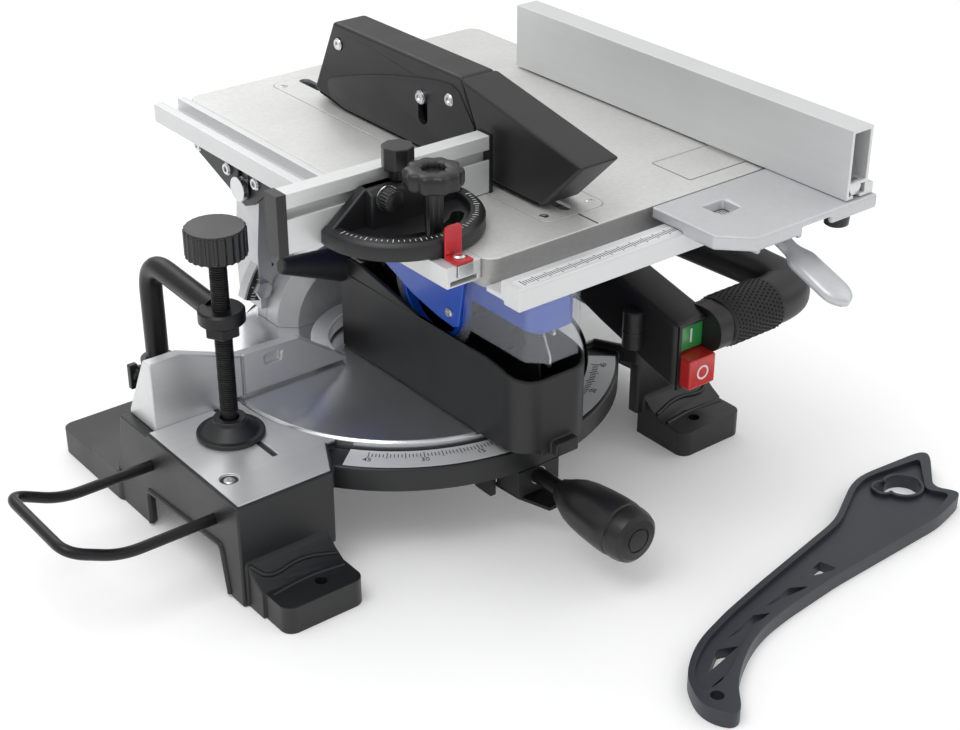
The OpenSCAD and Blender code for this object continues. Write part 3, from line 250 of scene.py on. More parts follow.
@dataclass(frozen=True)
class Finish:
    """One finish of the saw, from colour to fine texture."""

    name: str
    slot: str
    color: tuple[float, float, float]
    roughness: float
    metallic: float = 0.0
    grain: Grain = Grain.MOULDED
    fineness: float = 900.0
    bump: float = 0.05
    drift: float = 0.08
    coat: float = 0.0
    alpha: float = 1.0
    # Share of the colour kept on steep sides, as painted shade; 1.0 paints none.
    side_shade: float = 1.0

    def tone(self, factor: float) -> tuple[float, float, float, float]:
        """The colour made lighter or darker by a factor."""
        return (*(min(1.0, part * factor) for part in self.color), 1.0)

    def material(self) -> bpy.types.Material:
        """Builds the finish as a node material.

        Returns:
            The material, built once for each finish.
        """
        found = bpy.data.materials.get(self.name)
        if found:
            return found
        made = bpy.data.materials.new(self.name)
        made.use_nodes = True
        sketch = TreeSketch(made.node_tree)
        shader = made.node_tree.nodes["Principled BSDF"]
        place = self.pattern_space(sketch)
        texture = self.group(sketch, ShaderGroups.surface_grain(), Vector=place, Fineness=self.fineness)
        coordinates = sketch.node("ShaderNodeTexCoord").outputs["Object"]
        tint = self.group(sketch, ShaderGroups.tint_drift(), Vector=coordinates,
                          Dark=self.tone(1 - self.drift), Light=self.tone(1 + self.drift),
                          Grain=texture.outputs["Mask"])
        marks = self.group(sketch, ShaderGroups.handling_marks(), Vector=coordinates,
                           Low=self.roughness * 0.92, High=min(1.0, self.roughness * 1.08))
        relief = sketch.node("ShaderNodeBump", Strength=self.bump, Distance=0.0004,
                             Height=texture.outputs["Height"])
        sketch.put(shader.inputs["Base Color"], self.shaded(sketch, tint.outputs["Color"]))
        sketch.put(shader.inputs["Roughness"], marks.outputs["Roughness"])
        sketch.put(shader.inputs["Normal"], relief.outputs["Normal"])
        shader.inputs["Metallic"].default_value = self.metallic
        shader.inputs["Coat Weight"].default_value = self.coat
        shader.inputs["Coat Roughness"].default_value = 0.12
        shader.inputs["Alpha"].default_value = self.alpha
        made.diffuse_color = self.tone(1.0)
        return made

    def shaded(self, sketch: TreeSketch, color: bpy.types.NodeSocket) -> bpy.types.NodeSocket:
        """Paints shade on the steep sides of a casting: the colour grows darker where a face turns away
        from up, standing in for the dim light that the sides catch.

        Args:
            sketch: Tree of the material.
            color: Colour of the faces that look up.

        Returns:
            The colour socket to use.
        """
        if self.side_shade == 1.0:
            return color
        facing = sketch.node("ShaderNodeNewGeometry").outputs["True Normal"]
        rise = sketch.node("ShaderNodeSeparateXYZ", Vector=facing).outputs["Z"]
        share = sketch.node("ShaderNodeMapRange", Value=rise, From_Min=0.2, From_Max=0.8,
                            To_Min=self.side_shade, To_Max=1.0)
        scaled = sketch.node("ShaderNodeVectorMath", {"operation": "SCALE"}, Scale=share.outputs["Result"])
        sketch.put(scaled.inputs[0], color)
        return scaled.outputs[0]

    def pattern_space(self, sketch: TreeSketch) -> bpy.types.NodeSocket:
        """Coordinates for the grain, stretched the way the surface was worked.

        Args:
            sketch: Tree of the material.

        Returns:
            The vector socket to feed the grain with.
        """
        source = sketch.node("ShaderNodeTexCoord").outputs["Object"]
        if self.grain is not Grain.TURNED:
            return sketch.node("ShaderNodeMapping", Vector=source,
                               Scale=GRAIN_STRETCH[self.grain]).outputs[0]
        centred = sketch.node("ShaderNodeMapping", Vector=source, Location=-at(0, 0, 0))
        flat = sketch.node("ShaderNodeVectorMath", {"operation": "MULTIPLY"})
        sketch.put(flat.inputs[0], centred.outputs[0])
        flat.inputs[1].default_value = (1.0, 1.0, 0.0)
        away = sketch.node("ShaderNodeVectorMath", {"operation": "LENGTH"})
        sketch.put(away.inputs[0], flat.outputs[0])
        return sketch.xyz(away.outputs["Value"], 0.0, 0.0)

    @staticmethod
    def group(sketch: TreeSketch, tree: bpy.types.NodeTree, **values: Any) -> bpy.types.Node:
        """Places a shared group in a material.

        Args:
            sketch: Tree of the material.
            tree: The shared group.
            values: Its inputs by name.

        Returns:
            The group node.
        """
        return sketch.node("ShaderNodeGroup", {"node_tree": tree}, **values)


BLACK_PAINT = Finish("black cast paint", "black_paint", (0.013, 0.0135, 0.015), 0.40, bump=0.10,
                     fineness=1300)
BLACK_STEEL = Finish("black oxide steel", "black_paint", (0.010, 0.010, 0.011), 0.34, metallic=0.35,
                     bump=0.05)
BLACK_PLASTIC = Finish("black moulding", "black_plastic", (0.014, 0.014, 0.0155), 0.44, bump=0.12,
                       fineness=1700)
FINE_PLASTIC = Finish("smooth black moulding", "black_plastic", (0.011, 0.011, 0.012), 0.36, bump=0.05)
# The steep sides of the table plate and insert get painted shade, darker than the top, for the dim light
# that they catch.
TABLE_TOP = Finish("sanded casting with painted side shade", "cast_aluminium", (0.70, 0.70, 0.69), 0.46, 0.5, Grain.CAST, 2200,
                   0.05, 0.08, side_shade=0.55)
FENCE_FACE = Finish("milled casting", "cast_aluminium", (0.72, 0.725, 0.73), 0.38, 0.6, Grain.DRAWN_X, 1100,
                    0.06, 0.05)
CAST_ROUGH = Finish("bare casting", "cast_aluminium", (0.60, 0.61, 0.62), 0.46, 0.6, Grain.CAST, 700, 0.12,
                    0.08)
TURNED_TOP = Finish("turned casting", "cast_aluminium", (0.70, 0.71, 0.73), 0.24, 0.9, Grain.TURNED, 2600,
                    0.06, 0.05)
PLATE_STEEL = Finish("brushed plate", "cast_aluminium", (0.80, 0.805, 0.81), 0.34, 0.65, Grain.DRAWN_X,
                     1500, 0.04, 0.04)
DRAWN_Y = Finish("anodised rail", "extruded_aluminium", (0.71, 0.715, 0.72), 0.40, 0.42, Grain.DRAWN_Y,
                 1600, 0.04, 0.03)
DRAWN_X = Finish("anodised bar", "extruded_aluminium", (0.71, 0.715, 0.72), 0.40, 0.42, Grain.DRAWN_X, 1600,
                 0.04, 0.03)
SILVER_PAINT = Finish("silver paint", "silver_paint", (0.56, 0.57, 0.585), 0.36, 0.35, Grain.CAST, 2200,
                      0.05, 0.05, 0.25)
ZINC = Finish("zinc plate", "zinc_steel", (0.66, 0.67, 0.68), 0.27, 1.0, Grain.CAST, 900, 0.04, 0.08)
BLADE_STEEL = Finish("ground steel", "blade_steel", (0.50, 0.51, 0.53), 0.28, 1.0, Grain.DRAWN_Y, 1500,
                     0.06, 0.07)
BLUE_PAINT = Finish("blue paint", "blue_paint", (0.006, 0.083, 0.56), 0.30, bump=0.03, fineness=700,
                    coat=0.5)
CLEAR_COVER = Finish("clear cover", "clear_cover", (0.80, 0.84, 0.90), 0.04, grain=Grain.SMOOTH,
                     fineness=60, bump=0.0, alpha=0.12)
RED_PAINT = Finish("red paint", "red_paint", (0.52, 0.010, 0.018), 0.32, fineness=800, coat=0.4)
GREEN_BUTTON = Finish("green button", "green_plastic", (0.035, 0.30, 0.075), 0.26, fineness=500, coat=0.5)
RED_BUTTON = Finish("red button", "red_plastic", (0.58, 0.022, 0.022), 0.26, fineness=500, coat=0.5)
GRIP_RUBBER = Finish("grip rubber", "grip_rubber", (0.014, 0.014, 0.015), 0.62, bump=0.10, fineness=1500)
COPPER = Finish("lacquered copper", "copper_winding", (0.50, 0.22, 0.10), 0.35, 0.9, Grain.DRAWN_X, 1600)
STICK_PLASTIC = Finish("stick moulding", "stick_plastic", (0.026, 0.031, 0.040), 0.40, bump=0.10,
                       fineness=1200)
SCALE_WHITE = Finish("scale plate", "cast_aluminium", (0.74, 0.75, 0.76), 0.40, 0.2, Grain.CAST, 900, 0.03,
                     0.03)
# Black print for the scales and marks; the same black is also painted shade in the deck slots and screw
# recesses.
INK_AND_PAINTED_SHADE = Finish("scale ink and painted shade", "black_paint", (0.02, 0.02, 0.022), 0.5)
MARK_WHITE = Finish("white marking", "silver_paint", (0.78, 0.78, 0.78), 0.5, drift=0.03)


def smooth_by_angle(bm: bmesh.types.BMesh, angle: float) -> None:
    """Shades faces smooth and keeps edges sharper than an angle in degrees."""
    for face in bm.faces:
        face.smooth = True
    for edge in bm.edges:
        if len(edge.link_faces) == 2:
            edge.smooth = edge.calc_face_angle() < math.radians(angle)


class Sketch:
    """A mesh under construction, in metres in the frame."""

    def __init__(self) -> None:
        """Starts with nothing."""
        self.bm = bmesh.new()

    def skin(self, rings: Sequence[Sequence[Vector]], closed: bool = False) -> Sketch:
        """Joins rings of equal count into a tube with end caps.

        Args:
            rings: Rings of points in order.
            closed: True if the last ring joins the first one.

        Returns:
            This sketch.
        """
        rows = [[self.bm.verts.new(point) for point in ring] for ring in rings]
        count = len(rows[0])
        pairs = list(zip(rows, rows[1:]))
        if closed:
            pairs.append((rows[-1], rows[0]))
        for first, second in pairs:
            for k in range(count):
                n = (k + 1) % count
                self.bm.faces.new((first[k], first[n], second[n], second[k]))
        if not closed:
            self.bm.faces.new(rows[0])
            self.bm.faces.new(list(reversed(rows[-1])))
        return self

    def sweep(self, path: Sequence[Vector], section: Section, up: Vector) -> Sketch:
        """Runs a changing section along a path.

        Args:
            path: Points of the path, in metres.
            section: Gives the section's points in millimetres for a share of the way from 0 to 1.
            up: Direction that the section's second axis keeps close to.

        Returns:
            This sketch.
        """
        rings = []
        last = len(path) - 1
        for i, point in enumerate(path):
            along = (path[min(i + 1, last)] - path[max(i - 1, 0)]).normalized()
            side = along.cross(up).normalized()
            rise = side.cross(along)
            rings.append([point + (side * u + rise * v) * MM for u, v in section(i / last)])
        return self.skin(rings)

    def lathe(self, profile: Sequence[Point2], foot: Vector, axis: Vector, segments: int = 64,
              ripple: Callable[[float, float], float] | None = None) -> Sketch:
        """Turns a profile about an axis.

        Args:
            profile: Radius and height pairs in millimetres, from the foot upwards.
            foot: Start of the axis, in metres.
            axis: Direction of the axis.
            segments: Points round the axis.
            ripple: Gives a factor for the radius from the angle and the share of the height.

        Returns:
            This sketch.
        """
        turn = axis.to_track_quat("Z", "Y").to_matrix()
        top = profile[-1][1] or 1.0
        rings = []
        for radius, height in profile:
            ring = []
            for k in range(segments):
                angle = 2 * math.pi * k / segments
                reach = radius * (ripple(angle, height / top) if ripple else 1.0)
                ring.append(foot + turn @ Vector((reach * math.cos(angle), reach * math.sin(angle),
                                                  height)) * MM)
            rings.append(ring)
        return self.skin(rings)

    def hoop(self, section: Sequence[Point2], foot: Vector, axis: Vector, segments: int = 48) -> Sketch:
        """Turns a closed section about an axis into a ring.

        Args:
            section: Radius and height pairs in millimetres, in order round the section.
            foot: Centre of the ring, in metres.
            axis: Direction of the axis.
            segments: Sections round the ring.

        Returns:
            This sketch.
        """
        turn = axis.to_track_quat("Z", "Y").to_matrix()
        rings = []
        for k in range(segments):
            a = 2 * math.pi * k / segments
            rings.append([foot + turn @ Vector((r * math.cos(a), r * math.sin(a), h)) * MM
                          for r, h in section])
        return self.skin(rings, closed=True)

    def prism(self, outline: Sequence[Vector], thick: Vector) -> Sketch:
        """Extrudes a flat outline.

        Args:
            outline: Corners in metres.
            thick: Thickness as a vector in metres.

        Returns:
            This sketch.
        """
        return self.skin([list(outline), [corner + thick for corner in outline]])

    def done(self, name: str, angle: float = 32.0) -> bpy.types.Object:
        """Turns the sketch into an object at the origin.

        Args:
            name: Name of the piece.
            angle: Edges sharper than this stay sharp.

        Returns:
            The new object.
        """
        bmesh.ops.remove_doubles(self.bm, verts=self.bm.verts, dist=1e-7)
        bmesh.ops.recalc_face_normals(self.bm, faces=self.bm.faces)
        smooth_by_angle(self.bm, angle)
        mesh = bpy.data.meshes.new(name)
        self.bm.to_mesh(mesh)
        self.bm.free()
        return link(name, mesh)


def link(name: str, mesh: bpy.types.Mesh) -> bpy.types.Object:
    """Puts a mesh in the scene as an object at the origin."""
    made = bpy.data.objects.new(name, mesh)
    bpy.context.scene.collection.objects.link(made)
    return made


def upright(x: Point2, z: Point2, y: float) -> list[Vector]:
    """Corners of an upright rectangle that faces along Y.

    Args:
        x: Left and right side in millimetres.
        z: Lower and upper side.
        y: Where it stands.

    Returns:
        The four corners in metres.
    """
    return [at(x[0], y, z[0]), at(x[1], y, z[0]), at(x[1], y, z[1]), at(x[0], y, z[1])]


def round_section(radius: float, count: int = 24) -> Section:
    """A round section of one radius all the way along."""
    ring = [(radius * math.cos(2 * math.pi * k / count), radius * math.sin(2 * math.pi * k / count))
            for k in range(count)]
    return lambda share: ring


def oval_section(wide: float, high: float, count: int = 28, power: float = 2.6) -> list[Point2]:
    """A soft-cornered oval.

    Args:
        wide: Half width in millimetres.
        high: Half height in millimetres.
        count: Points round the oval.
        power: 2 is an ellipse, and more is squarer.

    Returns:
        The section's points.
    """
    points = []
    for k in range(count):
        c = math.cos(2 * math.pi * k / count)
        s = math.sin(2 * math.pi * k / count)
        points.append((wide * math.copysign(abs(c) ** (2 / power), c),
                       high * math.copysign(abs(s) ** (2 / power), s)))
    return points


def rounded_path(corners: Sequence[Vector], radius: float, steps: int = 10) -> list[Vector]:
    """Rounds the corners of a path.

    Args:
        corners: Corner points in metres.
        radius: Distance from each corner where the bend starts, in millimetres.
        steps: Points in each bend.

    Returns:
        The points of the rounded path.
    """
    path = [corners[0]]
    for before, corner, after in zip(corners, corners[1:], corners[2:]):
        reach = radius * MM
        start = corner + (before - corner).normalized() * min(reach, (before - corner).length * 0.49)
        end = corner + (after - corner).normalized() * min(reach, (after - corner).length * 0.49)
        for k in range(steps + 1):
            t = k / steps
            path.append(start * (1 - t) ** 2 + corner * 2 * t * (1 - t) + end * t ** 2)
    path.append(corners[-1])
    return path


def rounded_loop(corners: Sequence[Vector], radius: float, steps: int = 6) -> list[Vector]:
    """Rounds every corner of a closed outline.

    Args:
        corners: Corner points in metres.
        radius: Distance from each corner where the bend starts, in millimetres.
        steps: Points in each bend.

    Returns:
        The points of the rounded outline.
    """
    return rounded_path([corners[-1], *corners, corners[0]], radius, steps)[1:-1]


def dense_path(path: Sequence[Vector], step: float) -> list[Vector]:
    """Adds points to a path so that none lie further apart than a step in millimetres."""
    out = [path[0]]
    for first, second in zip(path, path[1:]):
        parts = max(1, math.ceil((second - first).length / (step * MM)))
        out.extend(first.lerp(second, k / parts) for k in range(1, parts + 1))
    return out


class Trees:
    """Geometry node trees for what repeats."""

    @staticmethod
    def start(name: str, **inputs: str) -> tuple[TreeSketch, bpy.types.Node]:
        """Starts a tree with the given inputs, a place, a turn and a material.

        Args:
            name: Name of the tree.
            inputs: Socket kind by input name.

        Returns:
            The sketch and its group input node.
        """
        sketch = TreeSketch(bpy.data.node_groups.new(name, "GeometryNodeTree"))
        sketch.sockets("INPUT", Geometry="Geometry", **inputs, Place="Vector", Turn="Rotation",
                       Material="Material")
        sketch.sockets("OUTPUT", Geometry="Geometry")
        return sketch, sketch.node("NodeGroupInput")

    @staticmethod
    def end(sketch: TreeSketch, entry: bpy.types.Node, shape: bpy.types.NodeSocket) -> bpy.types.NodeTree:
        """Places, realizes and paints the shape, and closes the tree.

        Args:
            sketch: Tree under construction.
            entry: Its group input node.
            shape: Geometry to hand out.

        Returns:
            The finished tree.
        """
        real = sketch.node("GeometryNodeRealizeInstances", Geometry=shape)
        placed = sketch.node("GeometryNodeTransform", Geometry=real.outputs[0],
                             Translation=entry.outputs["Place"], Rotation=entry.outputs["Turn"])
        painted = sketch.node("GeometryNodeSetMaterial", Geometry=placed.outputs[0],
                              Material=entry.outputs["Material"])
        leave = sketch.node("NodeGroupOutput")
        sketch.put(leave.inputs[0], painted.outputs[0])
        return sketch.tree

    @classmethod
    def screws(cls) -> bpy.types.NodeTree:
        """Socket head screws on points that carry the way they face.

        Returns:
            The tree, built once.
        """
        name = "screw heads"
        if name in bpy.data.node_groups:
            return bpy.data.node_groups[name]
        sketch, entry = cls.start(name, Head_Radius="Float", Head_Height="Float")
        radius = entry.outputs["Head Radius"]
        height = entry.outputs["Head Height"]
        half = sketch.math("MULTIPLY", height, 0.5)
        rim = sketch.node("GeometryNodeMeshCone", {"fill_type": "NGON"}, Vertices=32,
                          Radius_Top=sketch.math("MULTIPLY", radius, 0.8), Radius_Bottom=radius,
                          Depth=sketch.math("MULTIPLY", height, 0.45))
        crown = sketch.node("GeometryNodeTransform", Geometry=rim.outputs["Mesh"],
                            Translation=sketch.xyz(0, 0, half))
        drum = sketch.node("GeometryNodeMeshCylinder", Vertices=32, Radius=radius, Depth=half)
        drum_up = sketch.node("GeometryNodeTransform", Geometry=drum.outputs["Mesh"],
                              Translation=sketch.xyz(0, 0, sketch.math("MULTIPLY", height, 0.25)))
        head = sketch.node("GeometryNodeMeshBoolean", {"operation": "UNION"})
        sketch.put(head.inputs["Mesh 2"], crown.outputs[0])
        sketch.put(head.inputs["Mesh 2"], drum_up.outputs[0])
        key = sketch.node("GeometryNodeMeshCylinder", Vertices=6,
                          Radius=sketch.math("MULTIPLY", radius, 0.5), Depth=height)
        key_up = sketch.node("GeometryNodeTransform", Geometry=key.outputs["Mesh"],
                             Translation=sketch.xyz(0, 0, height))
        cut = sketch.node("GeometryNodeMeshBoolean", {"operation": "DIFFERENCE"})
        sketch.put(cut.inputs["Mesh 1"], head.outputs[0])
        sketch.put(cut.inputs["Mesh 2"], key_up.outputs[0])
        facing = sketch.node("GeometryNodeInputNamedAttribute", {"data_type": "FLOAT_VECTOR"},
                             Name="facing")
        turn = sketch.node("FunctionNodeAlignRotationToVector", {"axis": "Z"}, Vector=facing.outputs[0])
        set_out = sketch.node("GeometryNodeInstanceOnPoints", Points=entry.outputs["Geometry"],
                              Instance=cut.outputs[0], Rotation=turn.outputs[0])
        return cls.end(sketch, entry, set_out.outputs[0])

    @classmethod
    def arc_ticks(cls) -> bpy.types.NodeTree:
        """Marks along an arc, with every few marks long.

        Returns:
            The tree, built once.
        """
        name = "arc ticks"
        if name in bpy.data.node_groups:
            return bpy.data.node_groups[name]
        sketch, entry = cls.start(name, Count="Int", Radius="Float", Start="Float", Sweep="Float",
                                  Mark="Vector", Long_Every="Int")
        line = sketch.node("GeometryNodeMeshLine", Count=entry.outputs["Count"])
        index = sketch.node("GeometryNodeInputIndex").outputs[0]
        share = sketch.math("DIVIDE", index, sketch.math("SUBTRACT", entry.outputs["Count"], 1.0))
        angle = sketch.math("ADD", entry.outputs["Start"],
                            sketch.math("MULTIPLY", entry.outputs["Sweep"], share))
        spot = sketch.xyz(sketch.math("MULTIPLY", entry.outputs["Radius"], sketch.math("COSINE", angle)),
                          sketch.math("MULTIPLY", entry.outputs["Radius"], sketch.math("SINE", angle)), 0.0)
        spread = sketch.node("GeometryNodeSetPosition", Geometry=line.outputs[0], Position=spot)
        rest = sketch.math("MODULO", index, entry.outputs["Long Every"])
        long = sketch.math("LESS_THAN", rest, 0.5)
        reach = sketch.math("ADD", sketch.math("MULTIPLY", long, 0.42), 0.58)
        mark = sketch.node("GeometryNodeMeshCube", Size=entry.outputs["Mark"])
        marks = sketch.node("GeometryNodeInstanceOnPoints", Points=spread.outputs[0],
                            Instance=mark.outputs["Mesh"], Rotation=sketch.xyz(0, 0, angle),
                            Scale=sketch.xyz(reach, 1.0, 1.0))
        return cls.end(sketch, entry, marks.outputs[0])

    @classmethod
    def row(cls) -> bpy.types.NodeTree:
        """Bars in a straight row, with every few bars long.

        Returns:
            The tree, built once.
        """
        name = "row of bars"
        if name in bpy.data.node_groups:
            return bpy.data.node_groups[name]
        sketch, entry = cls.start(name, Count="Int", Step="Vector", Bar="Vector", Long_Every="Int")
        line = sketch.node("GeometryNodeMeshLine", Count=entry.outputs["Count"],
                           Offset=entry.outputs["Step"])
        index = sketch.node("GeometryNodeInputIndex").outputs[0]
        rest = sketch.math("MODULO", index, entry.outputs["Long Every"])
        long = sketch.math("LESS_THAN", rest, 0.5)
        reach = sketch.math("ADD", sketch.math("MULTIPLY", long, 0.4), 0.6)
        bar = sketch.node("GeometryNodeMeshCube", Size=entry.outputs["Bar"])
        bars = sketch.node("GeometryNodeInstanceOnPoints", Points=line.outputs[0],
                           Instance=bar.outputs["Mesh"], Scale=sketch.xyz(1.0, reach, 1.0))
        return cls.end(sketch, entry, bars.outputs[0])

    @classmethod
    def grip_dots(cls) -> bpy.types.NodeTree:
        """Small domes in staggered rows round a sleeve along X.

        Returns:
            The tree, built once.
        """
        name = "grip dots"
        if name in bpy.data.node_groups:
            return bpy.data.node_groups[name]
        sketch, entry = cls.start(name, Around="Int", Along="Int", Wide="Float", High="Float",
                                  Length="Float", Dot="Float")
        around = entry.outputs["Around"]
        along = entry.outputs["Along"]
        line = sketch.node("GeometryNodeMeshLine", Count=sketch.math("MULTIPLY", around, along))
        index = sketch.node("GeometryNodeInputIndex").outputs[0]
        column = sketch.math("FLOOR", sketch.math("DIVIDE", index, around))
        stagger = sketch.math("MULTIPLY", sketch.math("MODULO", column, 2.0), 0.5)
        spoke = sketch.math("ADD", sketch.math("MODULO", index, around), stagger)
        angle = sketch.math("MULTIPLY", sketch.math("DIVIDE", spoke, around), 2 * math.pi)
        share = sketch.math("SUBTRACT", sketch.math("DIVIDE", column, sketch.math("SUBTRACT", along, 1.0)),
                            0.5)
        spot = sketch.xyz(sketch.math("MULTIPLY", share, entry.outputs["Length"]),
                          sketch.math("MULTIPLY", entry.outputs["Wide"], sketch.math("COSINE", angle)),
                          sketch.math("MULTIPLY", entry.outputs["High"], sketch.math("SINE", angle)))
        spread = sketch.node("GeometryNodeSetPosition", Geometry=line.outputs[0], Position=spot)
        dome = sketch.node("GeometryNodeMeshIcoSphere", Radius=entry.outputs["Dot"], Subdivisions=1)
        dots = sketch.node("GeometryNodeInstanceOnPoints", Points=spread.outputs[0],
                           Instance=dome.outputs["Mesh"])
        return cls.end(sketch, entry, dots.outputs[0])

    @classmethod
    def thread(cls) -> bpy.types.NodeTree:
        """A screw thread as a ridge wound up a spindle.

        Returns:
            The tree, built once.
        """
        name = "screw thread"
        if name in bpy.data.node_groups:
            return bpy.data.node_groups[name]
        sketch, entry = cls.start(name, Radius="Float", Height="Float", Turns="Float", Ridge="Float")
        coil = sketch.node("GeometryNodeCurveSpiral", Resolution=20, Rotations=entry.outputs["Turns"],
                           Start_Radius=entry.outputs["Radius"], End_Radius=entry.outputs["Radius"],
                           Height=entry.outputs["Height"])
        ridge = sketch.node("GeometryNodeCurvePrimitiveCircle", Resolution=4, Radius=entry.outputs["Ridge"])
        wound = sketch.node("GeometryNodeCurveToMesh", Curve=coil.outputs[0],
                            Profile_Curve=ridge.outputs["Curve"], Fill_Caps=True)
        return cls.end(sketch, entry, wound.outputs[0])

    @staticmethod
    def soft_shading() -> bpy.types.NodeTree:
        """Smooth shading over round faces that keeps hard edges.

        Returns:
            The tree, built once.
        """
        name = "soft shading"
        if name in bpy.data.node_groups:
            return bpy.data.node_groups[name]
        sketch = TreeSketch(bpy.data.node_groups.new(name, "GeometryNodeTree"))
        sketch.sockets("INPUT", Geometry="Geometry")
        sketch.sockets("OUTPUT", Geometry="Geometry")
        entry = sketch.node("NodeGroupInput")
        plain = sketch.node("GeometryNodeRemoveAttribute", Geometry=entry.outputs[0], Name="custom_normal")
        faces = sketch.node("GeometryNodeSetShadeSmooth", {"domain": "FACE"}, Geometry=plain.outputs[0],
                            Shade_Smooth=True)
        bend = sketch.node("GeometryNodeInputMeshEdgeAngle").outputs["Unsigned Angle"]
        gentle = sketch.math("LESS_THAN", bend, math.radians(32))
        edges = sketch.node("GeometryNodeSetShadeSmooth", {"domain": "EDGE"}, Geometry=faces.outputs[0],
                            Shade_Smooth=gentle)
        leave = sketch.node("NodeGroupOutput")
        sketch.put(leave.inputs[0], edges.outputs[0])
        return sketch.tree


def grow(name: str, tree: bpy.types.NodeTree, seed: bpy.types.Mesh | None = None,
         **values: Any) -> bpy.types.Object:
    """Runs a geometry tree and keeps its result as a plain mesh.

    Args:
        name: Name of the piece.
        tree: Tree to run.
        seed: Mesh that the tree starts from, or nothing.
        values: Tree inputs by name, with spaces as underscores.

    Returns:
        The new object at the origin.
    """
    host = link(f"{name}_seed", seed or bpy.data.meshes.new(f"{name}_seed"))
    step = host.modifiers.new("grow", "NODES")
    step.node_group = tree
    wanted = {key.replace("_", " "): value for key, value in values.items()}
    for item in tree.interface.items_tree:
        if item.item_type == "SOCKET" and item.in_out == "INPUT" and item.name in wanted:
            step[item.identifier] = wanted[item.name]
    graph = bpy.context.evaluated_depsgraph_get()
    mesh = bpy.data.meshes.new_from_object(host.evaluated_get(graph))
    mesh.name = name
    bpy.data.objects.remove(host)
    return link(name, mesh)


def screw_seed(name: str, places: Sequence[tuple[Vector, Vector]]) -> bpy.types.Mesh:
    """A mesh of points that carry the way each screw faces.

    Args:
        name: Name of the mesh.
        places: Foot of each head in metres, and the way it faces.

    Returns:
        The point mesh.
    """
    mesh = bpy.data.meshes.new(name)
    mesh.from_pydata([place for place, _ in places], [], [])
    facing = mesh.attributes.new("facing", "FLOAT_VECTOR", "POINT")
    for k, (_, way) in enumerate(places):
        facing.data[k].vector = way
    return mesh


def strip(name: str, xs: Point2, ys: Point2, low: float, thick: float) -> bpy.types.Object:
    """A flat level strip.

    Args:
        name: Name of the piece.
        xs: Its two ends along X, in millimetres.
        ys: Its two ends along Y, in millimetres.
        low: Height of its underside.
        thick: Its thickness.

    Returns:
        The new object.
    """
    corners = [at(xs[0], ys[0], low), at(xs[1], ys[0], low), at(xs[1], ys[1], low), at(xs[0], ys[1], low)]
    return Sketch().prism(corners, Z_AXIS * thick * MM).done(name)


def carved(name: str, solid: bpy.types.Object, cutter: bpy.types.Object) -> bpy.types.Object:
    """Cuts one object out of another and keeps the result as a plain mesh.

    Args:
        name: Name of the result.
        solid: Object to cut, with any modifiers that come before the cut.
        cutter: Object to take away.

    Returns:
        The new object, shaded softly.
    """
    cut = solid.modifiers.new("carve", "BOOLEAN")
    cut.operation = "DIFFERENCE"
    cut.object = cutter
    graph = bpy.context.evaluated_depsgraph_get()
    mesh = bpy.data.meshes.new_from_object(solid.evaluated_get(graph))
    bpy.data.objects.remove(solid)
    bpy.data.objects.remove(cutter)
    made = link(name, mesh)
    shading = made.modifiers.new("soft shading", "NODES")
    shading.node_group = Trees.soft_shading()
    return made


def round_edges(piece: bpy.types.Object, width: float, segments: int) -> None:
    """Rounds the hard edges of a new piece.

    Args:
        piece: The piece.
        width: Width of the rounding in millimetres.
        segments: Steps in the rounding.
    """
    rounding = piece.modifiers.new("round edges", "BEVEL")
    rounding.width = width * MM
    rounding.segments = segments
    rounding.limit_method = "ANGLE"


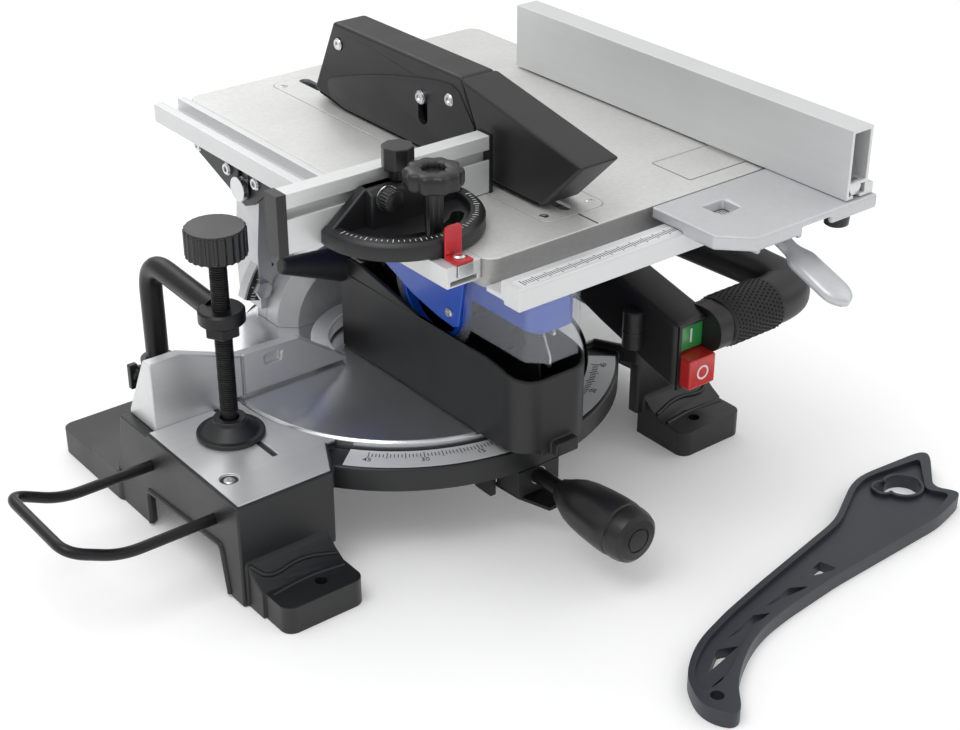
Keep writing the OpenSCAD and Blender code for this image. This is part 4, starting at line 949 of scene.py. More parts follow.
class EdgeRoom:
    """Finds how wide the rounding of each hard edge of a mesh can be."""

    HARD = math.radians(34)
    STRAIGHT_ON = math.cos(math.radians(40))
    SHARE = 0.42

    def __init__(self, bm: bmesh.types.BMesh, width: float) -> None:
        """Keeps the mesh and the wanted width.

        Args:
            bm: Mesh with whole flat faces.
            width: Wanted width of the rounding in metres.
        """
        self.bm = bm
        self.width = width

    def weigh(self) -> None:
        """Gives each hard edge its share of the wanted width, the same along a run of edges."""
        layer = self.bm.edges.layers.float.new("bevel_weight_edge")
        rooms = {}
        for edge in self.bm.edges:
            if len(edge.link_faces) == 2 and edge.calc_face_angle() > self.HARD:
                rooms[edge] = min(self.across(loop) for loop in edge.link_loops)
        waiting = set(rooms)
        while waiting:
            run = self.run_of(waiting.pop(), waiting)
            room = min(rooms[edge] for edge in run)
            for edge in run:
                edge[layer] = min(1.0, self.SHARE * room / self.width)

    def run_of(self, first: bmesh.types.BMEdge,
               waiting: set[bmesh.types.BMEdge]) -> list[bmesh.types.BMEdge]:
        """Collects the hard edges that go on from one edge without a kink.

        Args:
            first: Edge to start from.
            waiting: Edges not yet in a run; those found are taken out.

        Returns:
            The edges of the run.
        """
        run = [first]
        for edge in run:
            for vert in edge.verts:
                way = (vert.co - edge.other_vert(vert).co).normalized()
                for other in vert.link_edges:
                    ahead = (other.other_vert(vert).co - vert.co).normalized()
                    if other in waiting and way.dot(ahead) > self.STRAIGHT_ON:
                        waiting.discard(other)
                        run.append(other)
        return run

    def across(self, loop: bmesh.types.BMLoop) -> float:
        """Free distance from an edge across one of its faces.

        Args:
            loop: The edge's side in that face.

        Returns:
            The distance in metres.
        """
        start, end = loop.vert.co, loop.link_loop_next.vert.co
        along = (end - start).normalized()
        inward = loop.face.normal.cross(along)
        length = (end - start).length
        room = min(self.corner(loop), self.corner(loop.link_loop_next))
        for other in loop.face.loops:
            first, second = other.vert.co - start, other.link_loop_next.vert.co - start
            if other.edge is loop.edge:
                continue
            if other in (loop.link_loop_next, loop.link_loop_prev):
                way = (second - first).normalized()
                if way.dot(along) < self.STRAIGHT_ON:
                    room = min(room, max(abs(first.dot(inward)), abs(second.dot(inward))))
                continue
            room = min(room, self.crossing(first, second, along, inward, length))
        return room

    @staticmethod
    def corner(loop: bmesh.types.BMLoop) -> float:
        """Room left by the corner of a face where a side starts.

        Args:
            loop: The side.

        Returns:
            The distance in metres, or 1 where the corner isn't narrow.
        """
        here = loop.vert.co
        coming, going = here - loop.link_loop_prev.vert.co, loop.link_loop_next.vert.co - here
        if coming.cross(going).dot(loop.face.normal) <= 0:
            return 1.0
        half = (math.pi - coming.angle(going, 0.0)) / 2
        return min(coming.length, going.length) * math.tan(half)

    @staticmethod
    def crossing(first: Vector, second: Vector, along: Vector, inward: Vector, length: float) -> float:
        """Nearest place straight across where another edge is met.

        Args:
            first: One end of the other edge, from the start of this one.
            second: Its other end.
            along: Direction of this edge.
            inward: Direction across the face.
            length: Length of this edge.

        Returns:
            The distance in metres, or 1 where the other edge isn't straight across.
        """
        u1, u2, v1, v2 = first.dot(along), second.dot(along), first.dot(inward), second.dot(inward)
        low, high = max(0.0, min(u1, u2)), min(length, max(u1, u2))
        if high <= low or max(v1, v2) <= 1e-6:
            return 1.0
        slope = (v2 - v1) / (u2 - u1)
        nearest = min(v1 + (u - u1) * slope for u in (low, high))
        return nearest if nearest > 1e-6 else 1.0


@dataclass
class Workshop:
    """The loaded frame, with the calls that every sub-assembly uses."""

    frame: dict[str, Any]
    count: int = 0

    def add(self, piece: bpy.types.Object, body: str, finish: Finish, *stands_for: str) -> bpy.types.Object:
        """Gives a new piece its finish, its body and the nodes that it stands for.

        Args:
            piece: The new object.
            body: Body that it rides on.
            finish: Its finish.
            stands_for: Nodes that it replaces.

        Returns:
            The same object.
        """
        piece.data.materials.clear()
        piece.data.materials.append(finish.material())
        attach(piece, body)
        if stands_for:
            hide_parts(*stands_for)
        self.count += 1
        LOG.info("piece %s on %s, %d faces", piece.name, body, len(piece.data.polygons))
        return piece

    def dress(self, finish: Finish, edge: float, *nodes: str) -> None:
        """Paints solids of the frame and softens their edges.

        Args:
            finish: Finish of the solids.
            edge: Width of the softened edges in millimetres, 0 for none.
            nodes: Names of the solids.
        """
        for name in nodes:
            solid = self.frame["nodes"][name]
            for holder in solid.material_slots:
                holder.material = finish.material()
            if edge > 0:
                self.soften(solid, edge)
            LOG.info("solid %s in %s", name, finish.name)

    def soften(self, piece: bpy.types.Object, edge: float, segments: int = 3) -> None:
        """Rounds the hard edges of an object with modifiers.

        Args:
            piece: Object to soften.
            edge: Width of the rounding in millimetres.
            segments: Steps in each rounding.
        """
        weld = piece.modifiers.new("join corners", "WELD")
        weld.merge_threshold = 2e-6
        flat = piece.modifiers.new("flat faces", "DECIMATE")
        flat.decimate_type = "DISSOLVE"
        flat.angle_limit = math.radians(0.6)
        rounding = piece.modifiers.new("round edges", "BEVEL")
        rounding.width = edge * MM
        rounding.segments = segments
        rounding.limit_method = "ANGLE"
        rounding.angle_limit = math.radians(34)
        rounding.use_clamp_overlap = False
        rounding.miter_outer = "MITER_ARC"
        self.even_shading(piece)

    def rounded_copy(self, node: str, body: str, finish: Finish, edge: float) -> None:
        """Stands a copy of a solid in its place, each edge rounded as far as there is room.

        Args:
            node: Name of the solid.
            body: Body that it rides on.
            finish: Its finish.
            edge: Wanted width of the rounding in millimetres.
        """
        bm = bmesh.new()
        bm.from_mesh(self.frame["nodes"][node].data)
        bmesh.ops.remove_doubles(bm, verts=bm.verts, dist=2e-6)
        bmesh.ops.dissolve_limit(bm, angle_limit=math.radians(0.6), verts=bm.verts, edges=bm.edges)
        bm.normal_update()
        EdgeRoom(bm, edge * MM).weigh()
        mesh = bpy.data.meshes.new(f"{node}_rounded")
        bm.to_mesh(mesh)
        bm.free()
        copy = link(mesh.name, mesh)
        rounding = copy.modifiers.new("round edges", "BEVEL")
        rounding.width = edge * MM
        rounding.segments = 3
        rounding.limit_method = "WEIGHT"
        rounding.use_clamp_overlap = False
        rounding.miter_outer = "MITER_ARC"
        self.even_shading(copy)
        self.add(copy, body, finish, node)

    @staticmethod
    def even_shading(piece: bpy.types.Object) -> None:
        """Shades round faces smooth and keeps flat faces flat.

        Args:
            piece: Object to shade.
        """
        shading = piece.modifiers.new("soft shading", "NODES")
        shading.node_group = Trees.soft_shading()
        level = piece.modifiers.new("level flats", "WEIGHTED_NORMAL")
        level.keep_sharp = True
        level.weight = 80

    def screws(self, name: str, body: str, radius: float, height: float,
               places: Sequence[tuple[Vector, Vector]], *stands_for: str) -> bpy.types.Object:
        """Adds a set of screws on one body.

        Args:
            name: Name of the set.
            body: Body that the screws ride on.
            radius: Head radius in millimetres.
            height: Head height in millimetres.
            places: Foot of each head in metres, and the way it faces.
            stands_for: Nodes that the set replaces.

        Returns:
            The set as one object.
        """
        piece = grow(name, Trees.screws(), screw_seed(name, places), Head_Radius=radius * MM,
                     Head_Height=height * MM, Material=ZINC.material())
        return self.add(piece, body, ZINC, *stands_for)


@dataclass
class MitreBase:
    """Black base with its deck plates, fence, front scale and wire work support."""

    shop: Workshop
    deck_z: float = 80.5
    wire_radius: float = 4.0
    wire_rows: tuple[float, float] = (3.0, -84.0)
    wire_z: float = 56.0
    wire_reach: float = -328.0
    scale_radius: float = 152.0
    scale_z: float = 74.0
    deck_screws: tuple[Point2, ...] = ((-204, -81),)
    wing_x: float = 219.6
    arch: tuple[Point2, ...] = ((12, 2.5), (12, 31), (-92, 39), (-99, 2.5))
    ridges: tuple[tuple[tuple[float, float, float], ...],
                  ...] = (((-214, -118, 33), (-205, -129, 25), (-178, -124, 28.4), (-152, -130, 24)),
                          ((-211, -141, 20.6), (-182, -137, 20.6), (-153, -141, 20.6)))

    def build(self) -> None:
        """Dresses the base and adds its fine pieces."""
        self.shop.rounded_copy("base_casting", "base", BLACK_PAINT, 3.0)
        self.shop.dress(PLATE_STEEL, 0.5, "wing_plates")
        self.shop.dress(FENCE_FACE, 1.3, "fence")
        self.shop.dress(ZINC, 0.4, "pivot_bolt")
        self.work_support()
        self.front_scale()
        # Flat black strips on the deck plates are painted shade that stands in for the depth of the slots.
        for side in (1, -1):
            name = "deck_slot_shade_left" if side > 0 else "deck_slot_shade_right"
            slot = strip(name, (side * -165.4, side * -162.8), (-75, 6), self.deck_z - 0.2, 0.25)
            self.shop.add(slot, "base", INK_AND_PAINTED_SHADE)
        places = [(at(side * x, y, self.deck_z - 2.4), Z_AXIS) for x, y in self.deck_screws
                  for side in (1, -1)]
        self.shop.screws("deck_screw_heads", "base", 4.2, 1.9, places, "deck_screw_set")
        self.screw_wells()
        for side in (1, -1):
            self.arch_rim(side)
            self.foot_ridge(side)

    def screw_wells(self) -> None:
        """Painted shade: dark rings on the floors of the recesses round the deck screws."""
        well_shade = Sketch()
        for x, y in self.deck_screws:
            for side in (1, -1):
                well_shade.hoop([(4.0, 0), (6.4, 0), (6.4, 0.15), (4.0, 0.15)],
                           at(side * x, y, self.deck_z - 1.5), Z_AXIS)
        self.shop.add(well_shade.done("deck_screw_well_shade"), "base", INK_AND_PAINTED_SHADE)

    def arch_rim(self, side: int) -> None:
        """Raised rim round the arch in the outer face of one wing.

        Args:
            side: 1 for the right wing, -1 for the left.
        """
        corners = [at(side * self.wing_x, y, z) for y, z in self.arch]
        path = rounded_path(corners, 5)
        rim = Sketch().sweep(path, round_section(2.4, 16), X_AXIS)
        self.shop.add(rim.done("arch_rim_right" if side > 0 else "arch_rim_left"), "base", BLACK_PAINT)

    def foot_ridge(self, side: int) -> None:
        """Two cast ridges across the front foot of one wing.

        Args:
            side: 1 for the right wing, -1 for the left.
        """
        ridges = Sketch()
        for places in self.ridges:
            path = dense_path(rounded_path([at(-side * x, y, z) for x, y, z in places], 14), 4)
            ridges.sweep(path, round_section(1.7, 14), Z_AXIS)
        self.shop.add(ridges.done("foot_ridges_right" if side > 0 else "foot_ridges_left"), "base",
                      BLACK_PAINT)

    def work_support(self) -> None:
        """Bent wire loop that slides out at the left."""
        rear, front = self.wire_rows
        corners = [at(-172, rear, self.wire_z), at(-290, rear, self.wire_z), at(self.wire_reach, rear, 74),
                   at(self.wire_reach, front, 74), at(-290, front, self.wire_z),
                   at(-172, front, self.wire_z)]
        path = dense_path(rounded_path(corners, 15), 6)
        wire = Sketch().sweep(path, round_section(self.wire_radius, 20),
                              Vector((0.12, 0.08, 1)).normalized())
        self.shop.add(wire.done("support_wire"), "work_support", BLACK_STEEL, "support_bar")

    def front_scale(self) -> None:
        """Pale arc plate with ticks and plain numbers, on the front of the ring."""
        half = math.radians(50.5)
        plate = Sketch()
        steps = 72
        outer, inner = self.scale_radius + 13.5, self.scale_radius - 7.5
        rings = []
        for k in range(steps + 1):
            a = -math.pi / 2 - half + 2 * half * k / steps
            c, s = math.cos(a), math.sin(a)
            rings.append([at(r * c, r * s, self.scale_z + h)
                          for r, h in ((inner, -0.5), (outer, -0.5), (outer, 0.35), (inner, 0.35))])
        self.shop.add(plate.skin(rings).done("scale_plate"), "base", SCALE_WHITE)
        ticks = grow("scale_ticks", Trees.arc_ticks(), Count=91, Radius=(self.scale_radius - 1.5) * MM,
                     Start=-math.pi / 2 - math.radians(45), Sweep=math.radians(90),
                     Mark=(7 * MM, 0.55 * MM, 0.3 * MM), Long_Every=5, Place=at(0, 0, self.scale_z + 0.4),
                     Material=INK_AND_PAINTED_SHADE.material())
        self.shop.add(ticks, "base", INK_AND_PAINTED_SHADE)
        for degrees in (-45, -30, -15, 0, 15, 30, 45):
            self.number(abs(degrees), math.radians(degrees))

    def number(self, value: int, turn: float) -> None:
        """One plain number on the front scale.

        Args:
            value: Number to show.
            turn: Its angle from the front of the scale, to the right, in radians.
        """
        words = bpy.data.curves.new("scale number", "FONT")
        words.body = str(value)
        words.size = 6.5 * MM
        words.align_x = "CENTER"
        words.extrude = 0.1 * MM
        holder = bpy.data.objects.new("scale number", words)
        bpy.context.scene.collection.objects.link(holder)
        graph = bpy.context.evaluated_depsgraph_get()
        mesh = bpy.data.meshes.new_from_object(holder.evaluated_get(graph))
        bpy.data.objects.remove(holder)
        reach = self.scale_radius + 6.5
        spot = at(reach * math.sin(turn), -reach * math.cos(turn), self.scale_z + 0.4)
        mesh.transform(Matrix.Translation(spot) @ Matrix.Rotation(turn, 4, "Z"))
        side = "right" if turn > 0 else "left"
        self.shop.add(link(f"scale_number_{value}_{side}", mesh), "base", INK_AND_PAINTED_SHADE)


@dataclass
class WorkClamp:
    """Bent clamp post with its threaded spindle, knob and pad."""

    shop: Workshop
    x: float = -172.0
    post_y: float = 72.0
    spindle_y: float = -30.5
    post_radius: float = 8.5
    thread_radius: float = 5.7

    def build(self) -> None:
        """Dresses the clamp and adds its bent post and thread."""
        self.shop.dress(FINE_PLASTIC, 0.8, "clamp_knob")
        self.shop.dress(BLACK_PAINT, 1.0, "clamp_pad", "clamp_wing_screw")
        self.post()
        self.spindle()

    def post(self) -> None:
        """Post, arm and threaded eye."""
        corners = [at(self.x, self.post_y, 46), at(self.x, self.post_y, 180),
                   at(self.x, self.spindle_y + 10, 176)]
        path = dense_path(rounded_path(corners, 26), 8)
        made = Sketch().sweep(path, round_section(self.post_radius, 28), X_AXIS)
        eye = [(6.6, 0), (15, 0), (16.5, 1.5), (16.5, 9.5), (15, 11), (6.6, 11)]
        made.lathe(eye, at(self.x, self.spindle_y, 170), Z_AXIS, 48)
        nut = [(6.6, 0), (12, 0), (13, 1), (13, 9), (6.6, 9)]
        made.lathe(nut, at(self.x, self.spindle_y, 161), Z_AXIS, 6)
        self.shop.add(made.done("clamp_bent_post"), "clamp_frame", BLACK_STEEL, "clamp_post")

    def spindle(self) -> None:
        """Spindle core with its thread ridge."""
        core = [(4.5, 0), (5.6, 1.5), (5.6, 142), (5.6, 143.5)]
        made = Sketch().lathe(core, at(self.x, self.spindle_y, 90.3), Z_AXIS, 32)
        self.shop.add(made.done("spindle_core"), "clamp_screw", BLACK_STEEL, "clamp_spindle")
        ridge = grow("spindle_thread", Trees.thread(), Radius=self.thread_radius * MM, Height=0.118,
                     Turns=67.0, Ridge=0.8 * MM, Place=at(self.x, self.spindle_y, 101),
                     Material=BLACK_STEEL.material())
        self.shop.add(ridge, "clamp_screw", BLACK_STEEL)


@dataclass
class TurntableGroup:
    """Silver turntable with the blade trough, rear bevel arm, mitre handle and hinge."""

    shop: Workshop
    rod_z: float = 46.0
    grip_y: float = -192.0
    hinge_y: float = 112.0
    hinge_z: float = 194.0
    bevel_z: float = 80.5
    cover_half: float = 18.5
    cover_z: Point2 = (33.6, 54.5)
    cover_front: float = -166.6
    cover_long: float = 25.0
    cover_wall: float = 0.4
    rod_room: float = 7.2
    ear_x: Point2 = (18.6, 23.4)
    ear_z: Point2 = (23.7, 44.3)
    ear_front: float = -140.3
    ear_long: float = 18.6
    rise_outline: tuple[Point2, ...] = ((-72, 145), (2, 159), (42, 159), (54, 146), (54, 138), (30, 138),
                                        (30, 145))
    grip_profile: tuple[Point2, ...] = ((6.2, 0), (9, 0.4), (10.5, 4), (13.5, 10), (16.8, 18), (19, 28),
                                        (20.4, 40), (21, 52), (20.8, 60), (20.3, 63.4), (19.4, 64.4),
                                        (19.4, 66.4), (20.2, 67.4), (19.6, 73), (18.2, 77), (15, 79.4),
                                        (9.6, 79.8), (9.3, 79.0), (8.4, 79.0), (8.1, 79.8), (2, 79.9))

    def build(self) -> None:
        """Dresses the turntable group and adds its turned and wound pieces."""
        self.shop.dress(TURNED_TOP, 0.6, "turntable")
        self.shop.dress(BLACK_PLASTIC, 0.4, "kerf_insert")
        self.shop.dress(BLACK_PLASTIC, 1.6, "blade_trough")
        self.shop.rounded_copy("bevel_support", "table_turn", CAST_ROUGH, 1.8)
        self.shop.rounded_copy("bevel_arm", "table_turn", CAST_ROUGH, 1.8)
        self.shop.dress(ZINC, 0.6, "bevel_bolt", "hinge_pin")
        self.shop.dress(FINE_PLASTIC, 1.2, "bevel_lever", "head_lock_pin")
        self.shop.dress(BLACK_STEEL, 0.4, "mitre_rod", "detent_lever")
        self.grip()
        self.spring()
        self.bevel_scale()
        self.trough_rise()
        self.boss_cover()

    def trough_rise(self) -> None:
        """Left wall of the blade trough, higher towards the rear."""
        outline = [at(-34.2, y, z) for y, z in self.rise_outline]
        plate = Sketch().prism(outline, X_AXIS * 3.4 * MM).done("trough_rise")
        round_edges(plate, 0.9, 3)
        self.shop.add(plate, "table_turn", BLACK_PLASTIC)

    def boss_cover(self) -> None:
        """Black cover over the block that carries the mitre handle."""
        half, (low, high) = self.cover_half, self.cover_z
        box = Sketch().prism(upright((-half, half), (low, high), self.cover_front),
                             Y_AXIS * self.cover_long * MM).done("boss_box")
        inner = half - self.cover_wall
        room = Sketch().prism(upright((-inner, inner), (low - 4, high - self.cover_wall),
                                      self.cover_front + 0.5),
                              Y_AXIS * 2 * self.cover_long * MM).done("boss_room")
        bore = [(self.rod_room, 0), (self.rod_room, 20)]
        hole = Sketch().lathe(bore, at(0, self.cover_front - 10, self.rod_z), Y_AXIS, 48).done("boss_hole")
        shell = carved("boss_shell", box, room)
        self.shop.add(carved("boss_cover", shell, hole), "table_turn", BLACK_PAINT)
        for side, name in ((1, "right"), (-1, "left")):
            near, far = (side * reach for reach in self.ear_x)
            ear = Sketch().prism(upright((near, far), self.ear_z, self.ear_front),
                                 Y_AXIS * self.ear_long * MM)
            self.shop.add(ear.done(f"boss_ear_{name}"), "table_turn", BLACK_PAINT)

    def bevel_scale(self) -> None:
        """Dark arc with pale ticks on the bevel quadrant, and its clamp nut."""
        arc = []
        for k in range(19):
            a = math.radians(136 + 28 * k / 18)
            arc.append([at(r * math.cos(a), y, self.bevel_z + r * math.sin(a))
                        for r, y in ((65, 106.1), (77, 106.1), (77, 105.7), (65, 105.7))])
        self.shop.add(Sketch().skin(arc).done("bevel_arc"), "table_turn", INK_AND_PAINTED_SHADE)
        ticks = grow("bevel_ticks", Trees.arc_ticks(), Count=15, Radius=71.5 * MM, Start=math.radians(137),
                     Sweep=math.radians(26), Mark=(7 * MM, 0.7 * MM, 0.3 * MM), Long_Every=5,
                     Place=at(0, 105.6, self.bevel_z), Turn=Euler((math.pi / 2, 0, 0)),
                     Material=MARK_WHITE.material())
        self.shop.add(ticks, "table_turn", MARK_WHITE)
        nut = Sketch().lathe([(2, 0), (7.4, 0), (8, 0.8), (8, 6.2), (7.4, 7), (2, 7)], at(-61, 106, 109),
                             -Y_AXIS, 6)
        self.shop.add(nut.done("bevel_nut"), "table_turn", ZINC)

    def grip(self) -> None:
        """Bulb grip of the mitre handle, with eight shallow flutes."""
        def flutes(angle: float, share: float) -> float:
            """Shallow flutes that fade towards both ends of the grip."""
            depth = 0.035 * math.sin(math.pi * min(1.0, max(0.0, (share - 0.12) / 0.62)))
            return 1.0 - depth * (0.5 + 0.5 * math.cos(8 * angle))
        made = Sketch().lathe(self.grip_profile, at(0, self.grip_y, self.rod_z), -Y_AXIS, 96, flutes)
        self.shop.add(made.done("mitre_bulb_grip"), "mitre_handle", FINE_PLASTIC, "mitre_grip")

    def spring(self) -> None:
        """Return spring wound round the hinge pin."""
        turns, per_turn, coil_radius = 5, 32, 7.8
        path = []
        for k in range(turns * per_turn + 1):
            a = 2 * math.pi * k / per_turn
            path.append(at(-46 + 4.8 * k / per_turn, self.hinge_y + coil_radius * math.cos(a),
                           self.hinge_z + coil_radius * math.sin(a)))
        wire = Sketch().sweep(path, round_section(1.5, 12), X_AXIS)
        self.shop.add(wire.done("hinge_spring"), "table_turn", ZINC, "return_spring")


@dataclass
class SawHead:
    """Blue blade housing, motor, handle with its switch, and the blade drive."""

    shop: Workshop
    box_x: Point2 = (97.0, 132.0)
    well_x: Point2 = (101.6, 128.4)
    well_z: Point2 = (98.6, 146.4)
    box_outline: tuple[Point2, ...] = ((-200, 97), (-200, 149), (-100, 172), (-60, 172), (-60, 140),
                                       (-120, 120))
    handle_y: float = -195.5
    handle_z: float = 136.5
    handle_half: Point2 = (20.0, 16.8)
    sleeve_x: Point2 = (140.5, 193.5)
    arbor_y: float = -75.0
    arbor_z: float = 168.0
    blade_radius: float = 105.0
    motor_y: float = -35.0
    motor_z: float = 188.2

    def build(self) -> None:
        """Dresses the head and adds the handle, screws and blade tips."""
        self.shop.rounded_copy("blade_housing", "head", BLUE_PAINT, 2.2)
        self.shop.dress(BLUE_PAINT, 1.2, "side_plate")
        self.shop.dress(BLACK_PLASTIC, 2.0, "motor_housing", "motor_cap", "dust_spout")
        self.shop.dress(BLADE_STEEL, 0.2, "riving_knife", "saw_blade")
        self.shop.dress(ZINC, 0.4, "blade_flanges", "arbor", "motor_stator")
        self.shop.dress(COPPER, 0.3, "motor_rotor")
        self.shop.dress(GREEN_BUTTON, 1.2, "start_button")
        self.shop.dress(RED_BUTTON, 1.6, "stop_button")
        self.switch_box()
        self.loop()
        self.sleeve()
        self.button_marks()
        self.blade_tips()
        self.motor_ribs()
        self.housing_nose()
        places = [(at(-29, y, z), -X_AXIS) for y, z in ((10, 212), (-100, 160), (-108, 222))]
        self.shop.screws("side_plate_screws", "head", 3.6, 2.0, places)
        cap = [(at(189, self.motor_y + 33 * math.cos(a), self.motor_z + 33 * math.sin(a)), X_AXIS)
               for a in (0.5, 2.1, 3.6, 5.2)]
        self.shop.screws("motor_cap_screws", "head", 3.2, 1.6, cap)

    def switch_box(self) -> None:
        """Rounded box behind the buttons, with its button well."""
        x0, x1 = self.box_x
        block = Sketch().prism([at(x0, y, z) for y, z in self.box_outline], X_AXIS * (x1 - x0) * MM)
        box = block.done("switch_box_solid")
        well = Sketch().prism(upright(self.well_x, self.well_z, -202), Y_AXIS * 0.034)
        cutter = well.done("switch_well")
        round_edges(box, 4.0, 4)
        made = carved("switch_box", box, cutter)
        self.shop.add(made, "head", BLACK_PLASTIC, "handle_shell")
        boss = [(7.6, 0), (8, 0.8), (8, 12), (8.3, 12.4), (8.3, 13.6), (8, 14), (8, 29), (7, 30)]
        post = Sketch().lathe(boss, at(93, -160, 118), Z_AXIS, 40)
        self.shop.add(post.done("switch_box_boss"), "head", BLACK_PLASTIC)
        frame = Sketch()
        outer = ((99.2, 96.4), (130.8, 96.4), (130.8, 148.2), (99.2, 148.2))
        inner = ((101.8, 98.8), (128.2, 98.8), (128.2, 146.2), (101.8, 146.2))
        rings = [[at(x, y, z) for x, z in outline]
                 for outline, y in ((outer, -199.5), (outer, -201.4), (inner, -201.4), (inner, -199.5))]
        rim = frame.skin(rings, closed=True).done("switch_rim")
        self.shop.add(rim, "head", FINE_PLASTIC)

    def loop(self) -> None:
        """Smooth handle loop from the switch box round to the motor."""
        corners = [at(127, self.handle_y, self.handle_z), at(221, self.handle_y, self.handle_z),
                   at(223, self.handle_y + 24, self.handle_z + 6), at(184, -96, 163), at(170, -66, 171)]
        path = dense_path(rounded_path(corners, 26, 14), 4)
        wide, high = self.handle_half

        def section(share: float) -> Sequence[Point2]:
            """Full front bar that grows slimmer towards the motor."""
            slim = min(1.0, max(0.0, (share - 0.34) / 0.2))
            return oval_section(wide - 4.5 * slim, high - 1.8 * slim, 40, 2.4)

        made = Sketch().sweep(path, section, Z_AXIS).done("handle_loop", 40)
        self.shop.add(made, "head", BLACK_PLASTIC)

    def sleeve(self) -> None:
        """Soft sleeve on the front bar, with rows of small dots and a groove at each end."""
        x0, x1 = self.sleeve_x
        length = x1 - x0
        wide, high = self.handle_half
        middle = at((x0 + x1) / 2, self.handle_y, self.handle_z)
        swell = [(0, 0.3), (0.5, 1.2), (2.0, 1.7), (length - 2.0, 1.7), (length - 0.5, 1.2), (length, 0.3)]
        rings = []
        for along, extra in swell:
            ring = oval_section(wide + extra, high + extra, 72, 2.0)
            rings.append([at(x0 + along, self.handle_y + u, self.handle_z + v) for u, v in ring])
        made = Sketch().skin(rings)
        self.shop.add(made.done("grip_sleeve"), "head", GRIP_RUBBER, "handle_grip")
        dots = grow("grip_dots", Trees.grip_dots(), Around=34, Along=14, Wide=(wide + 1.9) * MM,
                    High=(high + 1.75) * MM, Length=(length - 9) * MM, Dot=1.0 * MM, Place=middle,
                    Material=GRIP_RUBBER.material())
        self.shop.add(dots, "head", GRIP_RUBBER)

    def housing_nose(self) -> None:
        """Thin blue skirt under the front of the blade housing, inside the clear cover."""
        reach, front, back, wall = 19.4, -183.4, -107.0, 2.0
        outer = rounded_path([at(-reach, back, 0), at(-reach, front, 0), at(reach, front, 0),
                              at(reach, back, 0)], 14)
        inner = rounded_path([at(reach - wall, back, 0), at(reach - wall, front + wall, 0),
                              at(wall - reach, front + wall, 0), at(wall - reach, back, 0)], 12)
        outline = [point + Z_AXIS * 172 * MM for point in outer + inner]
        made = Sketch().prism(outline, Z_AXIS * 21 * MM).done("housing_nose")
        self.shop.add(made, "head", BLUE_PAINT)

    def button_marks(self) -> None:
        """Plain bar on the start button and plain ring on the stop button."""
        bar = Sketch().prism(upright((114.2, 115.8), (129.5, 140.5), -197.05), -Y_AXIS * 0.00025)
        self.shop.add(bar.done("start_mark"), "start", MARK_WHITE)
        ring = Sketch().hoop([(4.2, 0), (5.6, 0), (5.6, 0.3), (4.2, 0.3)], at(115, -210.95, 110.7), -Y_AXIS,
                             40)
        self.shop.add(ring.done("stop_mark"), "stop", MARK_WHITE)

    def blade_tips(self) -> None:
        """Carbide tips on the blade's teeth."""
        tips = grow("blade_tips", Trees.arc_ticks(), Count=24, Radius=(self.blade_radius - 3) * MM,
                    Start=0.012, Sweep=2 * math.pi * 23 / 24, Mark=(6 * MM, 2.2 * MM, 2.6 * MM),
                    Long_Every=1, Place=at(0, self.arbor_y, self.arbor_z),
                    Turn=Euler((math.pi / 2, 0, math.pi / 2)), Material=ZINC.material())
        self.shop.add(tips, "blade", ZINC)

    def motor_ribs(self) -> None:
        """Cooling ribs along the motor."""
        ribs = grow("motor_ribs", Trees.arc_ticks(), Count=26, Radius=44.4 * MM, Start=math.radians(-20),
                    Sweep=math.radians(230), Mark=(2.4 * MM, 2.2 * MM, 84 * MM), Long_Every=1,
                    Place=at(126, self.motor_y, self.motor_z), Turn=Euler((math.pi / 2, 0, math.pi / 2)),
                    Material=BLACK_PLASTIC.material())
        self.shop.add(ribs, "head", BLACK_PLASTIC)


@dataclass
class Guards:
    """Clear lower blade cover and the black upper guard."""

    shop: Workshop
    arm_half: float = 14.5
    arm_screws: tuple[Point2, ...] = ((49.5, 314), (-83.5, 310))
    slot_ends: tuple[float, float, float, float] = (288.9, 303.1, -53.5, 5.4)
    panel_outline: tuple[Point2, ...] = ((45, 266), (62, 269.5), (66, 278), (64, 283), (56, 287.5),
                                         (46, 291), (14, 301), (-18, 309.5), (-50, 316.5), (-72, 320.5),
                                         (-86, 321.5), (-93.5, 318.5), (-110.8, 298.4), (-110.8, 266))

    def build(self) -> None:
        """Dresses the guards and adds their screws."""
        self.shop.dress(CLEAR_COVER, 0.7, "lower_guard")
        self.shop.dress(BLACK_PLASTIC, 2.8, "guard_arm", "guard_hood")
        places = [(at(side * (self.arm_half - 0.1), y, z), X_AXIS * side) for y, z in self.arm_screws
                  for side in (1, -1)]
        self.shop.screws("guard_screw_heads", "upper_guard", 4.6, 2.2, places, "guard_screws")
        stop = [(at(side * 18, -54, 304), X_AXIS * side) for side in (1, -1)]
        self.shop.screws("knife_screw_heads", "head", 4.4, 1.6, stop)
        for side in (1, -1):
            self.side_panel(side)

    def side_panel(self, side: int) -> None:
        """Raised panel on one side of the guard arm, with a soft upper edge.

        Args:
            side: 1 for the right side, -1 for the left.
        """
        name = "guard_panel_right" if side > 0 else "guard_panel_left"
        outline = [at(side * (self.arm_half - 0.2), y, z) for y, z in self.panel_outline]
        plate = Sketch().prism(outline, X_AXIS * side * 1.1 * MM).done(f"{name}_plate")
        round_edges(plate, 0.8, 2)
        low, high, middle, radius = self.slot_ends
        rim = []
        for k in range(24):
            a = 2 * math.pi * k / 24
            lift = high if k < 12 else low
            rim.append(at(side * (self.arm_half - 3), middle + radius * math.cos(a),
                          lift + radius * math.sin(a)))
        slot = Sketch().prism(rim, X_AXIS * side * 8 * MM).done(f"{name}_slot")
        panel = carved(name, plate, slot)
        self.shop.add(panel, "upper_guard", BLACK_PLASTIC)


